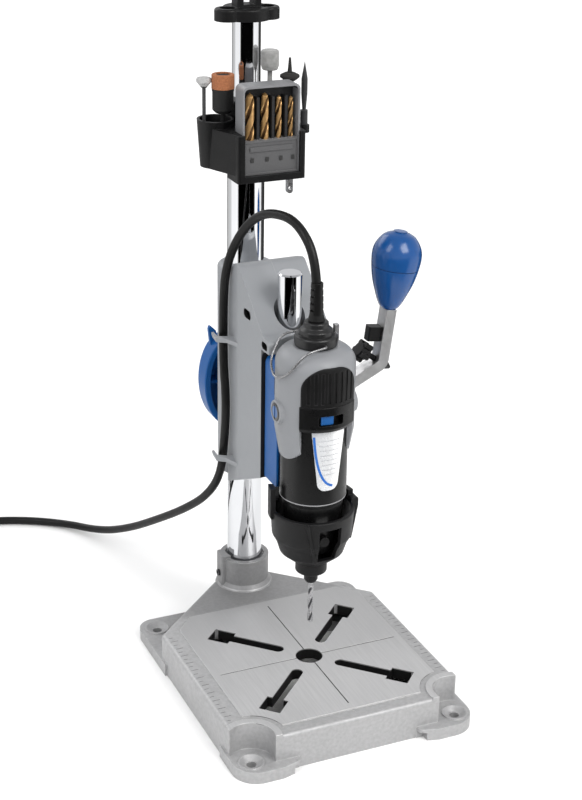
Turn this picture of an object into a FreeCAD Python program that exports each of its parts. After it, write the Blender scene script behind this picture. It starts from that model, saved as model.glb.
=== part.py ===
import FreeCAD, Part
import math
import os

from FreeCAD import Placement, Rotation, Vector

# Drill press stand with a corded rotary tool.  Millimetres, +Z up.  The origin lies on the bench,
# at the middle of the four bench bolts.  +X is the operator's right, and the operator stands at -Y.

UP = Vector(0, 0, 1)
RIGHT = Vector(1, 0, 0)

# --- driving dimensions ---------------------------------------------------------------------
BOLT_X = 74.0               # bench bolts, either side of the middle
BOLT_Y = 90.0
BOLT_HOLE_R = 3.3
EAR_OUT = 12.0              # how far an ear reaches sideways past its bolt
EAR_BACK = 14.0
EAR_TOP = 8.5

WORK_Y = -15.0              # the drilling axis stands at X = 0, Y = WORK_Y
COLUMN_BACK = 118.5         # from the drilling axis to the column's axis
COLUMN_Y = WORK_Y + COLUMN_BACK

BASE_LEFT = -84.5           # the ruler side is wider than the tick side
BASE_RIGHT = 81.5
BASE_FRONT = WORK_Y - 80.0
BASE_SHOULDER = WORK_Y + 66.0
RIM_TOP = 27.0
PLATE_TOP = 28.0
BASE_WALL = 5.0
BASE_ROOF = 7.0
COLLAR_R = 18.0
COLLAR_TOP = 50.0
SET_SCREW_Z = 37.0
CORNER_R = 15.6             # scoop round each front bench bolt
SLOT_INNER = 19.0           # distances from the drilling axis, along the diagonals
SLOT_NECK = 58.0
SLOT_OUTER = 73.5
SLOT_WIDTH = 8.0
SLOT_HEAD_WIDTH = 15.0
WORK_HOLE_R = 9.3

COLUMN_R = 12.7
COLUMN_BORE_R = 10.9
COLUMN_FOOT = 8.0
COLUMN_TOP = 378.0
MAST_R = 9.55
MAST_BORE_R = 7.6
MAST_FOOT = 128.0
MAST_TOP = 444.0
HANGER_TOP = MAST_TOP + 8.0
HANGER_RINGS = (-14.5, 12.8)
HOOK_PIN_Z = MAST_TOP + 17.0
RUNNING = 0.05              # radial clearance of a running fit

HEAD_HALF = 24.0            # half the width of the drilling head
HEAD_BOSS_R = 19.4
HEAD_BOTTOM = 121.0
HEAD_BOSS_TOP = 277.0
HEAD_NOSE = WORK_Y + 20.0
HEAD_FRONT = WORK_Y + 32.0
SHELL = 3.0

QUILL_R = 8.0
QUILL_Y = WORK_Y + 42.0
QUILL_TOP = 293.5
QUILL_BOTTOM = 157.0

GEAR_MODULE = 1.5
GEAR_TEETH = 25
GEAR_PITCH_R = GEAR_MODULE * GEAR_TEETH / 2
RACK_TIP_Y = QUILL_Y + 7.5
GEAR_Y = RACK_TIP_Y - GEAR_MODULE + GEAR_PITCH_R + 0.1
GEAR_Z = 166.0
SHAFT_R = 4.0

CARRIAGE_BACK = WORK_Y + 29.5
CARRIAGE_FRONT = WORK_Y + 9.5     # the cheeks either side of the tool; the middle is a cradle
CARRIAGE_HALF = 22.2
CARRIAGE_BOTTOM = 156.0
CARRIAGE_TOP = 245.0

TOOL_R = 22.2
SHELL_R = 26.0              # the grey rear half of the tool is wider than its barrel
CORD_R = 3.0


# --- construction helpers -------------------------------------------------------------------
def behind(distance):
    """Y of a point that stands this far behind the drilling axis."""
    return WORK_Y + distance


def box(x_min, x_max, y_min, y_max, z_min, z_max):
    return Part.makeBox(x_max - x_min, y_max - y_min, z_max - z_min, Vector(x_min, y_min, z_min))


def rod(radius, start, end):
    axis = end - start
    return Part.makeCylinder(radius, axis.Length, start, axis)


def post(radius, x, y, z_min, z_max):
    return rod(radius, Vector(x, y, z_min), Vector(x, y, z_max))


def cone(radius_start, radius_end, start, end):
    axis = end - start
    return Part.makeCone(radius_start, radius_end, axis.Length, start, axis)


def fuse(*shapes):
    joined = shapes[0].multiFuse(list(shapes[1:]))
    return joined.removeSplitter()


def outline(points):
    """Closed wire through (point, corner radius) pairs; a radius of 0 keeps the corner sharp."""
    count = len(points)
    starts, ends, arcs = [], [], []
    for index, (corner, radius) in enumerate(points):
        before = (points[index - 1][0] - corner).normalize()
        after = (points[(index + 1) % count][0] - corner).normalize()
        if radius == 0:
            starts.append(corner)
            ends.append(corner)
            arcs.append(None)
            continue
        half_angle = before.getAngle(after) / 2
        reach = radius / math.tan(half_angle)
        middle_way = (before + after).normalize()
        middle = corner + middle_way * (radius / math.sin(half_angle) - radius)
        starts.append(corner + before * reach)
        ends.append(corner + after * reach)
        arcs.append(Part.Arc(starts[-1], middle, ends[-1]).toShape())
    edges = []
    for index in range(count):
        if arcs[index] is not None:
            edges.append(arcs[index])
        following = starts[(index + 1) % count]
        if (following - ends[index]).Length > 1e-6:
            edges.append(Part.LineSegment(ends[index], following).toShape())
    return Part.Wire(edges)


def slab_up(points, z_min, z_max):
    """Upright prism over an outline of (x, y) or (x, y, corner radius)."""
    corners = [(Vector(p[0], p[1], z_min), p[2] if len(p) > 2 else 0) for p in points]
    return Part.Face(outline(corners)).extrude(Vector(0, 0, z_max - z_min))


def slab_side(points, x_min, x_max):
    """Prism along X over an outline of (y, z) or (y, z, corner radius)."""
    corners = [(Vector(x_min, p[0], p[1]), p[2] if len(p) > 2 else 0) for p in points]
    return Part.Face(outline(corners)).extrude(Vector(x_max - x_min, 0, 0))


def slab_back(points, y_min, y_max):
    """Prism along Y over an outline of (x, z) or (x, z, corner radius)."""
    corners = [(Vector(p[0], y_min, p[1]), p[2] if len(p) > 2 else 0) for p in points]
    return Part.Face(outline(corners)).extrude(Vector(0, y_max - y_min, 0))


def turned(profile, x, y, start_angle=0.0, sweep=360.0):
    """Solid turned about the vertical line at (x, y) from (radius, z) corners."""
    corners = [(Vector(x + p[0], y, p[1]), p[2] if len(p) > 2 else 0) for p in profile]
    face = Part.Face(outline(corners))
    solid = face.revolve(Vector(x, y, 0), UP, sweep)
    solid.rotate(Vector(x, y, 0), UP, start_angle)
    return solid


def wedge(x, y, radius, middle_angle, half_angle, z_min, z_max):
    """Upright pie slice, used to keep a sector of a turned piece."""
    start = math.radians(middle_angle - half_angle)
    end = math.radians(middle_angle + half_angle)
    middle = math.radians(middle_angle)
    centre = Vector(x, y, z_min)
    first = centre + Vector(math.cos(start), math.sin(start), 0) * radius
    last = centre + Vector(math.cos(end), math.sin(end), 0) * radius
    crown = centre + Vector(math.cos(middle), math.sin(middle), 0) * radius
    edges = [
        Part.LineSegment(centre, first).toShape(),
        Part.Arc(first, crown, last).toShape(),
        Part.LineSegment(last, centre).toShape(),
    ]
    return Part.Face(Part.Wire(edges)).extrude(Vector(0, 0, z_max - z_min))


def is_upright(edge):
    ends = edge.Vertexes
    if len(ends) != 2:
        return False
    run = ends[1].Point - ends[0].Point
    return abs(run.z) > 0.99 * run.Length


def mirrored(shape):
    return shape.mirror(Vector(0, 0, 0), RIGHT)


def keep(name, shape):
    """Write one node; a group of separate solids is kept as a compound."""
    solids = shape.Solids
    if not shape.isValid():
        print("INVALID", name)
    print(f"{name}: {len(solids)} solid(s), {shape.Volume / 1000:.2f} cm3")
    kept = solids[0] if len(solids) == 1 else Part.makeCompound(solids)
    kept.exportStep(f"parts/{name}.step")


def cord_tube(route, name):
    """Round cord along straight runs joined by tangent arcs."""
    points = [Vector(*p) for p in route]
    edges = []
    radii = []
    here = points[0]
    for index in range(1, len(points) - 1):
        corner = points[index]
        run_in = (points[index - 1] - corner)
        run_out = (points[index + 1] - corner)
        turn = math.pi - run_in.getAngle(run_out)
        shorter = min(run_in.Length, run_out.Length)
        radius = 0.45 * shorter / math.tan(turn / 2)
        radii.append(radius)
        reach = 0.45 * shorter
        start = corner + run_in.normalize() * reach
        end = corner + run_out.normalize() * reach
        half = (math.pi - turn) / 2
        middle_way = (run_in + run_out).normalize()
        middle = corner + middle_way * (radius / math.sin(half) - radius)
        edges.append(Part.LineSegment(here, start).toShape())
        edges.append(Part.Arc(start, middle, end).toShape())
        here = end
    edges.append(Part.LineSegment(here, points[-1]).toShape())
    spine = Part.Wire(edges)
    section = Part.Wire(Part.makeCircle(CORD_R, points[0], points[1] - points[0]))
    tube = spine.makePipeShell([section], True, False)
    print(f"{name}: length {spine.Length:.0f}, smallest radius {min(radii):.0f},",
          f"volume over section times length {tube.Volume / (math.pi * CORD_R ** 2 * spine.Length):.4f}")
    return tube


# --- base -----------------------------------------------------------------------------------
def ear_outline(side, y_sign):
    """Foot of one bench-bolt ear, as (x, y, corner radius)."""
    outer = side * (BOLT_X + EAR_OUT)
    if y_sign < 0:
        front = -BOLT_Y - 13.0
        return [(outer, front, 17.0), (side * 56.0, front, 6.0), (side * 43.0, BASE_FRONT - 4.5, 4.0),
                (side * 42.0, BASE_FRONT + 8.0), (outer, BASE_FRONT + 30.0)]
    back = BOLT_Y + EAR_BACK
    return [(outer, 40.0), (outer, back, 12.0), (side * 30.0, back), (side * 30.0, 60.0),
            (side * 70.0, 40.0)]


def base_outline(inset=0.0):
    """Plan of the raised table: square front, shoulders running back to the column's collar."""
    left = BASE_LEFT + inset
    right = BASE_RIGHT - inset
    front = BASE_FRONT + inset
    shoulder = BASE_SHOULDER - inset * 0.4
    tangent = COLUMN_Y + 14.0 - inset * 1.4
    return [(left, front, 3.0), (right, front, 3.0), (right, shoulder, 4.0), (13.0, tangent, 4.0),
            (-13.0, tangent, 4.0), (left, shoulder, 4.0)]


def work_slot(angle):
    """One clamping slot: a narrow run with a round inner end and a wide outer head."""
    half = SLOT_WIDTH / 2
    half_head = SLOT_HEAD_WIDTH / 2
    narrow = fuse(box(SLOT_INNER + half, SLOT_NECK + 1, -half, half, -1, 40),
                  post(half, SLOT_INNER + half, 0, -1, 40))
    head = box(SLOT_NECK, SLOT_OUTER, -half_head, half_head, -1, 40)
    slot = fuse(narrow, head)
    slot.Placement = Placement(Vector(0, WORK_Y, 0), Rotation(UP, angle))
    return slot


def base_casting():
    body = slab_up(base_outline(), 0, RIM_TOP)
    body = body.makeFillet(2.6, [e for e in body.Edges if e.BoundBox.ZMin > RIM_TOP - 0.1])
    cavity = slab_up(base_outline(BASE_WALL), -1, RIM_TOP - BASE_ROOF)
    collar_core = post(COLLAR_R, 0, COLUMN_Y, -1, RIM_TOP)
    rib_side = box(-BASE_WALL / 2, BASE_WALL / 2, behind(82), COLUMN_Y, -1, RIM_TOP)
    rib_cross = box(BASE_LEFT, BASE_RIGHT, behind(80), behind(80) + BASE_WALL, -1, RIM_TOP)
    corner_cores = [post(CORNER_R + BASE_WALL, side * BOLT_X, -BOLT_Y, -1, RIM_TOP) for side in (-1, 1)]
    cavity = cavity.cut([collar_core, rib_side, rib_cross] + corner_cores)
    body = body.cut(cavity)
    ears = [slab_up(ear_outline(side, sign), 0, EAR_TOP) for side in (-1, 1) for sign in (-1, 1)]
    bosses = [post(8.8, side * BOLT_X, sign * BOLT_Y, 0, EAR_TOP + 1.0)
              for side in (-1, 1) for sign in (-1, 1)]
    collar = post(COLLAR_R, 0, COLUMN_Y, 0, COLLAR_TOP)
    foot = cone(COLLAR_R + 3.5, COLLAR_R, Vector(0, COLUMN_Y, RIM_TOP - 1), Vector(0, COLUMN_Y, RIM_TOP + 4))
    screw_boss = slab_up([(-COLLAR_R - 2.0, COLUMN_Y - 6.0, 2), (-12.9, COLUMN_Y - 6.0),
                          (-12.9, COLUMN_Y + 6.0), (-COLLAR_R - 2.0, COLUMN_Y + 6.0, 2)],
                         RIM_TOP - 1, COLLAR_TOP + 2.5)
    table = body.common(slab_up(base_outline(), 0, RIM_TOP))
    lips = [post(CORNER_R + 4.6, side * BOLT_X, -BOLT_Y, 0, RIM_TOP + 1.2) for side in (-1, 1)]
    lips = [lip.common(slab_up(base_outline(), EAR_TOP + 5, 40)) for lip in lips]
    plate = slab_up([(BASE_LEFT + 13.5, behind(-70)), (BASE_RIGHT - 11.0, behind(-70)),
                     (BASE_RIGHT - 11.0, behind(66)), (57.5, behind(80)), (-58.0, behind(80)),
                     (BASE_LEFT + 13.5, behind(66))], RIM_TOP - 2, PLATE_TOP)
    plate = plate.cut([post(24.2, side * BOLT_X, -BOLT_Y, 0, 40) for side in (-1, 1)])
    body = fuse(table, collar, foot, screw_boss, plate, *lips)
    recesses = [post(CORNER_R, side * BOLT_X, -BOLT_Y, EAR_TOP, 40) for side in (-1, 1)]
    body = body.cut(recesses)
    body = fuse(body, *ears, *bosses)
    notch = box(40, 48, BASE_FRONT - 8, BASE_FRONT - 0.5, -1, 6)
    cross_line = box(-65.8, 65.8, behind(-0.45), behind(0.45), PLATE_TOP - 0.4, 30)
    depth_line = box(-0.45, 0.45, behind(-63.4), behind(73.3), PLATE_TOP - 0.4, 30)
    centre_tick = box(-0.4, 0.4, behind(-74.0), behind(-69.9), RIM_TOP - 0.3, RIM_TOP + 2)
    bolt_holes = [post(BOLT_HOLE_R, side * BOLT_X, sign * BOLT_Y, -1, 20)
                  for side in (-1, 1) for sign in (-1, 1)]
    column_seat = post(COLUMN_R + RUNNING, 0, COLUMN_Y, COLUMN_FOOT, 60)
    column_relief = post(COLUMN_R + 1.8, 0, COLUMN_Y, COLLAR_TOP - 2.5, 60)
    dishes = [cone(4.2, 7.8, Vector(side * BOLT_X, sign * BOLT_Y, EAR_TOP - 1.6),
                   Vector(side * BOLT_X, sign * BOLT_Y, EAR_TOP + 1.01))
              for side in (-1, 1) for sign in (-1, 1)]
    screw_hole = rod(2.5, Vector(-40, COLUMN_Y, SET_SCREW_Z), Vector(0, COLUMN_Y, SET_SCREW_Z))
    slots = [work_slot(angle) for angle in (45, 135, 225, 315)]
    work_hole = post(WORK_HOLE_R, 0, WORK_Y, -1, 40)
    body = body.cut([notch, mirrored(notch), cross_line, depth_line, centre_tick, column_seat,
                     column_relief, screw_hole, work_hole] + bolt_holes + dishes + slots)
    return body


def column_set_screw():
    """Headless screw with a hexagon socket."""
    shank = rod(2.45, Vector(-21.4, COLUMN_Y, SET_SCREW_Z), Vector(-COLUMN_R - 0.05, COLUMN_Y, SET_SCREW_Z))
    return shank.cut(rod(1.3, Vector(-22, COLUMN_Y, SET_SCREW_Z), Vector(-18.5, COLUMN_Y, SET_SCREW_Z)))


# --- column and telescoping mast ------------------------------------------------------------
def lower_column():
    return post(COLUMN_R, 0, COLUMN_Y, COLUMN_FOOT, COLUMN_TOP).cut(
        post(COLUMN_BORE_R, 0, COLUMN_Y, COLUMN_FOOT + 3, COLUMN_TOP + 1))


def telescope_collar():
    ring = turned([(MAST_R + RUNNING, COLUMN_TOP), (16.0, COLUMN_TOP, 1.5), (16.0, COLUMN_TOP + 14, 2.0),
                   (MAST_R + RUNNING, COLUMN_TOP + 14)], 0, COLUMN_Y)
    screw_boss = rod(6.0, Vector(0, COLUMN_Y + 11, COLUMN_TOP + 7), Vector(0, COLUMN_Y + 21, COLUMN_TOP + 7))
    hole = rod(2.5, Vector(0, COLUMN_Y, COLUMN_TOP + 7), Vector(0, COLUMN_Y + 30, COLUMN_TOP + 7))
    return fuse(ring, screw_boss).cut(fuse(hole, post(MAST_R + RUNNING, 0, COLUMN_Y, 370, 400)))


def wing_screw(length, stem_r, head_r, head_length):
    """Thumbscrew along +Y from the origin: a stem, then a lobed plastic head."""
    stem = rod(stem_r, Vector(0, 0, 0), Vector(0, length, 0))
    head = rod(head_r, Vector(0, length, 0), Vector(0, length + head_length, 0))
    flutes = [rod(head_r * 0.3, Vector(math.cos(a) * head_r * 1.12, length - 1, math.sin(a) * head_r * 1.12),
                  Vector(math.cos(a) * head_r * 1.12, length + head_length + 1, math.sin(a) * head_r * 1.12))
              for a in [math.radians(60 * k) for k in range(6)]]
    return fuse(stem, head.cut(flutes))


def telescope_screw():
    screw = wing_screw(14.5, 2.45, 9.0, 9.0)
    screw.translate(Vector(0, COLUMN_Y + MAST_R + 0.02, COLUMN_TOP + 7))
    return screw


def upper_mast():
    return post(MAST_R, 0, COLUMN_Y, MAST_FOOT, MAST_TOP).cut(
        post(MAST_BORE_R, 0, COLUMN_Y, MAST_FOOT - 1, MAST_TOP + 1))


def hanger_plate():
    """Lobed plate at the top of the mast, with a ring on each side for a hung tool."""
    disc = post(16.0, 0, COLUMN_Y, MAST_TOP, HANGER_TOP)
    lobes = [post(8.7, x, COLUMN_Y - 3, MAST_TOP, HANGER_TOP) for x in HANGER_RINGS]
    eyes = [post(5.2, x, COLUMN_Y - 3, MAST_TOP + 3.5, HANGER_TOP + 1) for x in HANGER_RINGS]
    spigot = post(MAST_BORE_R - 0.05, 0, COLUMN_Y, MAST_TOP - 18, MAST_TOP + 1)
    plate = fuse(disc, *lobes)
    plate = plate.makeFillet(1.6, [e for e in plate.Edges if e.BoundBox.ZMin > HANGER_TOP - 0.1])
    return fuse(plate.cut(eyes), spigot)


def hanger_fork():
    arms = [box(side * 6.2 - 2.2, side * 6.2 + 2.2, COLUMN_Y - 5, COLUMN_Y + 5, HANGER_TOP - 1, HOOK_PIN_Z + 5)
            for side in (-1, 1)]
    floor = box(-5, 5, COLUMN_Y - 5, COLUMN_Y + 5, HANGER_TOP - 1, HANGER_TOP + 1.5)
    fork = fuse(floor, *arms)
    fork = fork.makeFillet(2.0, [e for e in fork.Edges if e.BoundBox.ZMin > HOOK_PIN_Z + 4.9
                                 and abs(e.BoundBox.XLength) > 4])
    return fork.cut(rod(1.55, Vector(-20, COLUMN_Y, HOOK_PIN_Z), Vector(20, COLUMN_Y, HOOK_PIN_Z)))


def hanger_pin():
    pin = rod(1.5, Vector(-9.0, COLUMN_Y, HOOK_PIN_Z), Vector(9.4, COLUMN_Y, HOOK_PIN_Z))
    head = rod(2.6, Vector(-10.0, COLUMN_Y, HOOK_PIN_Z), Vector(-8.5, COLUMN_Y, HOOK_PIN_Z))
    return fuse(pin, head)


def hanger_hook():
    """Flat hook that swings on the fork's pin; a flexible shaft or a second tool hangs from it."""
    z = HOOK_PIN_Z
    eye = rod(4.0, Vector(-3, COLUMN_Y, z), Vector(3, COLUMN_Y, z))
    shank = box(-3, 3, COLUMN_Y - 2.5, COLUMN_Y + 2.5, z, z + 16)
    ring = rod(8.0, Vector(-3, COLUMN_Y - 3, z + 20), Vector(3, COLUMN_Y - 3, z + 20))
    hole = rod(5.2, Vector(-4, COLUMN_Y - 3, z + 20), Vector(4, COLUMN_Y - 3, z + 20))
    mouth = box(-4, 4, COLUMN_Y - 14, COLUMN_Y - 3, z + 18, z + 22)
    pin_hole = rod(1.6, Vector(-4, COLUMN_Y, z), Vector(4, COLUMN_Y, z))
    return fuse(eye, shank, ring).cut([hole, mouth, pin_hole])


# --- accessory holder -----------------------------------------------------------------------
HOLDER_BOTTOM = 346.5
HOLDER_TOP = 382.5
POCKET_TOP = 378.0
INDEX_FRONT = behind(75)
INDEX_BACK = behind(88)
INDEX_HALF = 20.0
INDEX_BOTTOM = 350.0
INDEX_TOP = 409.0
INDEX_BAY = 373.5
INDEX_DRILL_Y = INDEX_FRONT + 5.0
POCKET_LEFT = -24.4
POCKET_RIGHT = 23.4
CUP_X = -26.5
CUP_Y = behind(107)
CUTTER_SEAT = 374.0
SHANKS = {                  # stored tools: x, y and shank radius of the hole that each stands in
    "polishing_point": (-34.0, behind(108), 1.2),
    "sanding_drum": (-22.7, behind(103), 1.6),
    "felt_bob": (10.8, behind(104), 1.6),
    "cutoff_wheel": (22.0, behind(97), 1.6),
}
CUTTER_X = 35.4
WRENCH_X = 21.0
CUTTER_Y = behind(103)


def accessory_holder():
    """Clip-on tray: a ring round the column, a cup on the left and a pocket in front."""
    ring = post(17.0, 0, COLUMN_Y, HOLDER_BOTTOM, 372.0)
    bridge = box(-13, 13, INDEX_BACK + 2, COLUMN_Y - 8, HOLDER_BOTTOM, 372.0)
    cup = cone(10.2, 12.3, Vector(CUP_X, CUP_Y, HOLDER_BOTTOM + 4.5), Vector(CUP_X, CUP_Y, HOLDER_TOP))
    pocket = slab_up([(POCKET_LEFT, INDEX_FRONT - 3, 2), (POCKET_RIGHT, INDEX_FRONT - 3, 2),
                      (POCKET_RIGHT, INDEX_BACK + 3), (POCKET_LEFT, INDEX_BACK + 3)],
                     HOLDER_BOTTOM, POCKET_TOP)
    left_wall = slab_up([(POCKET_LEFT, INDEX_FRONT + 2), (-12, INDEX_FRONT + 2), (-12, CUP_Y),
                         (CUP_X - 8.0, CUP_Y), (CUP_X - 7.0, CUP_Y - 8)], HOLDER_BOTTOM + 4.5, POCKET_TOP)
    right_wall = box(12, 26, INDEX_BACK, behind(107), HOLDER_BOTTOM, 375.0)
    cutter_arm = box(20, CUTTER_X, CUTTER_Y - 2.5, CUTTER_Y + 2.5, CUTTER_SEAT - 5, CUTTER_SEAT)
    cutter_seat = post(3.8, CUTTER_X, CUTTER_Y, CUTTER_SEAT - 5, CUTTER_SEAT)
    body = fuse(ring, bridge, pocket, cup, left_wall, right_wall, cutter_arm, cutter_seat)
    index_room = box(-INDEX_HALF - 0.4, INDEX_HALF + 0.4, INDEX_FRONT - 0.4, INDEX_BACK + 0.4,
                     INDEX_BOTTOM - 0.2, 420)
    window = box(-INDEX_HALF + 0.5, INDEX_HALF - 0.5, INDEX_FRONT - 5, INDEX_FRONT + 1,
                 INDEX_BOTTOM + 1, 420)
    bore = post(COLUMN_R + RUNNING, 0, COLUMN_Y, HOLDER_BOTTOM - 1, HOLDER_TOP + 1)
    well = cone(8.6, 10.6, Vector(CUP_X, CUP_Y, HOLDER_TOP - 14), Vector(CUP_X, CUP_Y, HOLDER_TOP + 0.01))
    holes = [post(r + 0.1, x, y, HOLDER_BOTTOM + 6, HOLDER_TOP + 1) for x, y, r in SHANKS.values()]
    cutter_hole = post(1.2, CUTTER_X, CUTTER_Y, CUTTER_SEAT - 6, CUTTER_SEAT + 1)
    wrench_slot = box(WRENCH_X - 2.4, WRENCH_X + 2.4, behind(91.3), behind(94.7), HOLDER_BOTTOM - 1, 400)
    screw_hole = rod(2.5, Vector(0, COLUMN_Y, 358), Vector(0, COLUMN_Y + 40, 358))
    collar_room = post(16.4, 0, COLUMN_Y, COLUMN_TOP - 0.5, 400)
    return body.cut([index_room, window, bore, wrench_slot, screw_hole, collar_room, well, cutter_hole]
                    + holes)


def holder_screw():
    screw = wing_screw(12.0, 2.45, 7.5, 7.0)
    screw.translate(Vector(0, COLUMN_Y + COLUMN_R + 0.02, 358))
    return screw


def drill_index_case():
    """Thin-walled upright case: four drill bays above a plain front panel."""
    body = slab_back([(-INDEX_HALF, INDEX_BOTTOM, 1), (INDEX_HALF, INDEX_BOTTOM, 1),
                      (INDEX_HALF, INDEX_TOP, 4), (-INDEX_HALF, INDEX_TOP, 4)], INDEX_FRONT, INDEX_BACK)
    inside = INDEX_HALF - 1.3
    bay = slab_back([(-inside, INDEX_BAY), (inside, INDEX_BAY), (inside, INDEX_TOP - 1.6, 3),
                     (-inside, INDEX_TOP - 1.6, 3)], INDEX_FRONT - 1, INDEX_FRONT + 9)
    ribs = [box(x - 0.9, x + 0.9, INDEX_FRONT + 2.5, INDEX_FRONT + 9.5, INDEX_BAY - 1, INDEX_TOP - 8)
            for x in (-8.4, 2.1, 11.3)]
    bores = [post(r + 0.1, x, INDEX_DRILL_Y, 354, INDEX_BAY + 1) for x, r, _ in index_drill_places()]
    panel = box(-INDEX_HALF + 2, INDEX_HALF - 2, INDEX_FRONT - 1, INDEX_FRONT + 0.5, 352, INDEX_BAY - 1.5)
    return fuse(body.cut([bay, panel]), *ribs).cut(bores)


def index_drill_places():
    """x, radius and top of each stored drill."""
    return [(-13.4, 3.0, 404.0), (-2.9, 2.6, 403.5), (6.9, 2.0, 401.0), (15.3, 1.7, 400.0)]


def index_drills():
    drills = []
    for x, radius, top in index_drill_places():
        stem = post(radius, x, INDEX_DRILL_Y, 355, top - 1.5)
        tip = cone(radius, 0.2, Vector(x, INDEX_DRILL_Y, top - 1.5), Vector(x, INDEX_DRILL_Y, top))
        drills.append(fuse(stem, tip))
    return Part.makeCompound(drills)


def stored_shank(name, top):
    x, y, radius = SHANKS[name]
    return post(radius, x, y, HOLDER_BOTTOM + 6.5, top)


def polishing_point():
    x, y, _ = SHANKS["polishing_point"]
    head = turned([(0, 403), (1.6, 403), (5.0, 407), (5.0, 409.5, 1.2), (0, 410.5)], x, y)
    return fuse(stored_shank("polishing_point", 404), head)


def sanding_mandrel():
    x, y, _ = SHANKS["sanding_drum"]
    drum = turned([(0, 387), (5.0, 387), (7.0, 389, 1.0), (7.0, 401.5), (7.3, 401.5), (7.3, 402.8), (0, 402.8)],
                  x, y)
    core = post(4.6, x, y, 402, 411.5)
    return fuse(stored_shank("sanding_drum", 388), drum, core)


def sanding_band():
    x, y, _ = SHANKS["sanding_drum"]
    return turned([(4.7, 403.0), (7.5, 403.0), (7.5, 412.3, 0.8), (4.7, 412.3)], x, y)


def felt_bob():
    x, y, _ = SHANKS["felt_bob"]
    head = turned([(0, 412.5), (5.0, 412.5, 0.8), (6.0, 415.5, 2.0), (6.0, 425.5, 1.6), (0, 425.5)], x, y)
    return fuse(stored_shank("felt_bob", 413.5), head)


def cutoff_wheel():
    x, y, _ = SHANKS["cutoff_wheel"]
    disc = turned([(0, 405.5), (3.0, 405.5), (6.5, 408.2, 0.6), (6.5, 409.6, 0.6), (3.4, 411.2), (0, 411.2)], x, y)
    tip = cone(1.6, 0.7, Vector(x, y, 411), Vector(x, y, 421))
    return fuse(stored_shank("cutoff_wheel", 406), disc, tip)


def engraving_cutter():
    """Leaf-shaped cutter on a thick collar that sits on the tray's small side arm."""
    x, y = CUTTER_X, CUTTER_Y
    shank = post(1.1, x, y, CUTTER_SEAT - 4.5, CUTTER_SEAT + 1)
    collar = post(2.5, x, y, CUTTER_SEAT + 0.05, 384)
    head = turned([(0, 383.5), (1.2, 383.5), (2.1, 395), (2.1, 405, 3), (0, 417)], x, y)
    return fuse(shank, collar, head)


def collet_wrench():
    """Flat stamped spanner that hangs through the tray behind the drill case."""
    blade = slab_back([(WRENCH_X - 2.1, 331, 1.9), (WRENCH_X + 2.1, 331, 1.9), (WRENCH_X + 2.1, 392, 1.9),
                       (WRENCH_X - 2.1, 392, 1.9)], behind(91.5), behind(94.5))
    eye = rod(1.2, Vector(WRENCH_X, behind(90), 334.5), Vector(WRENCH_X, behind(96), 334.5))
    return blade.cut(eye)


# --- drilling head --------------------------------------------------------------------------
CLIP_HEIGHTS = (235.0, 145.5)
CLAMP_Z = 176.5


def head_body():
    """Both housing shells as one hollow casting, before it is split along X = 0."""
    side_view = [(HEAD_FRONT, 154.0, 2.0), (HEAD_FRONT, 247.0, 8.0), (HEAD_NOSE, 247.0), (HEAD_NOSE, 255.0, 3.0),
                 (behind(31.5), 256.5, 6.0), (behind(73.0), 292.0, 7.0), (behind(83.0), 289.5, 6.0),
                 (behind(100.0), HEAD_BOSS_TOP), (behind(100.0), HEAD_BOTTOM)]
    plan = [(-HEAD_HALF, behind(10)), (HEAD_HALF, behind(10)), (HEAD_HALF, behind(74), 40.0),
            (18.5, behind(112)), (-18.5, behind(112)), (-HEAD_HALF, behind(74), 40.0)]
    block = slab_side(side_view, -30, 30).common(slab_up(plan, 100, 310))
    boss = post(HEAD_BOSS_R, 0, COLUMN_Y, HEAD_BOTTOM, HEAD_BOSS_TOP)
    boss = boss.makeFillet(3.0, [e for e in boss.Edges if e.BoundBox.ZLength < 0.1])
    clamp_pad = rod(11.0, Vector(0, COLUMN_Y + 12, CLAMP_Z), Vector(0, COLUMN_Y + 24, CLAMP_Z))
    body = fuse(block, boss, clamp_pad)
    inner_side = [(HEAD_FRONT + SHELL, 190.0), (HEAD_FRONT + SHELL, 241.5, 6.0), (behind(68), 279.0, 6.0),
                  (behind(96), 264.0), (behind(96), 127.0), (HEAD_FRONT + SHELL, 157.5)]
    inner_plan = [(-HEAD_HALF + SHELL, behind(20)), (HEAD_HALF - SHELL, behind(20)),
                  (HEAD_HALF - SHELL, behind(66)), (12.0, behind(84)), (12.0, behind(97)),
                  (-12.0, behind(97)), (-12.0, behind(84)), (-HEAD_HALF + SHELL, behind(66))]
    room = slab_side(inner_side, -30, 30).common(slab_up(inner_plan, 100, 310))
    room = room.cut(post(COLUMN_R + SHELL, 0, COLUMN_Y, 100, 310))
    lug_slot = box(-11.2, 11.2, HEAD_NOSE - 5, behind(50), 120, 245.5)
    quill_pocket = post(10.3, 0, QUILL_Y, 254.0, 320)
    bush_seat = post(10.0, 0, QUILL_Y, 244.0, 254.1)
    bore = post(COLUMN_R + RUNNING, 0, COLUMN_Y, 100, 310)
    clamp_hole = rod(4.05, Vector(0, COLUMN_Y, CLAMP_Z), Vector(0, COLUMN_Y + 40, CLAMP_Z))
    shaft_hole = rod(6.5, Vector(-HEAD_HALF + 1, GEAR_Y, GEAR_Z), Vector(40, GEAR_Y, GEAR_Z))
    tool_room = post(SHELL_R + 1.0, 0, WORK_Y, 240, 300)
    return body.cut([room, lug_slot, quill_pocket, bush_seat, bore, clamp_hole, shaft_hole, tool_room])


SCREW_PLACES = [(behind(57), 262.5, 3.2, 3.0), (behind(27.5), 250.5, 2.6, 2.2)]


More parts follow.
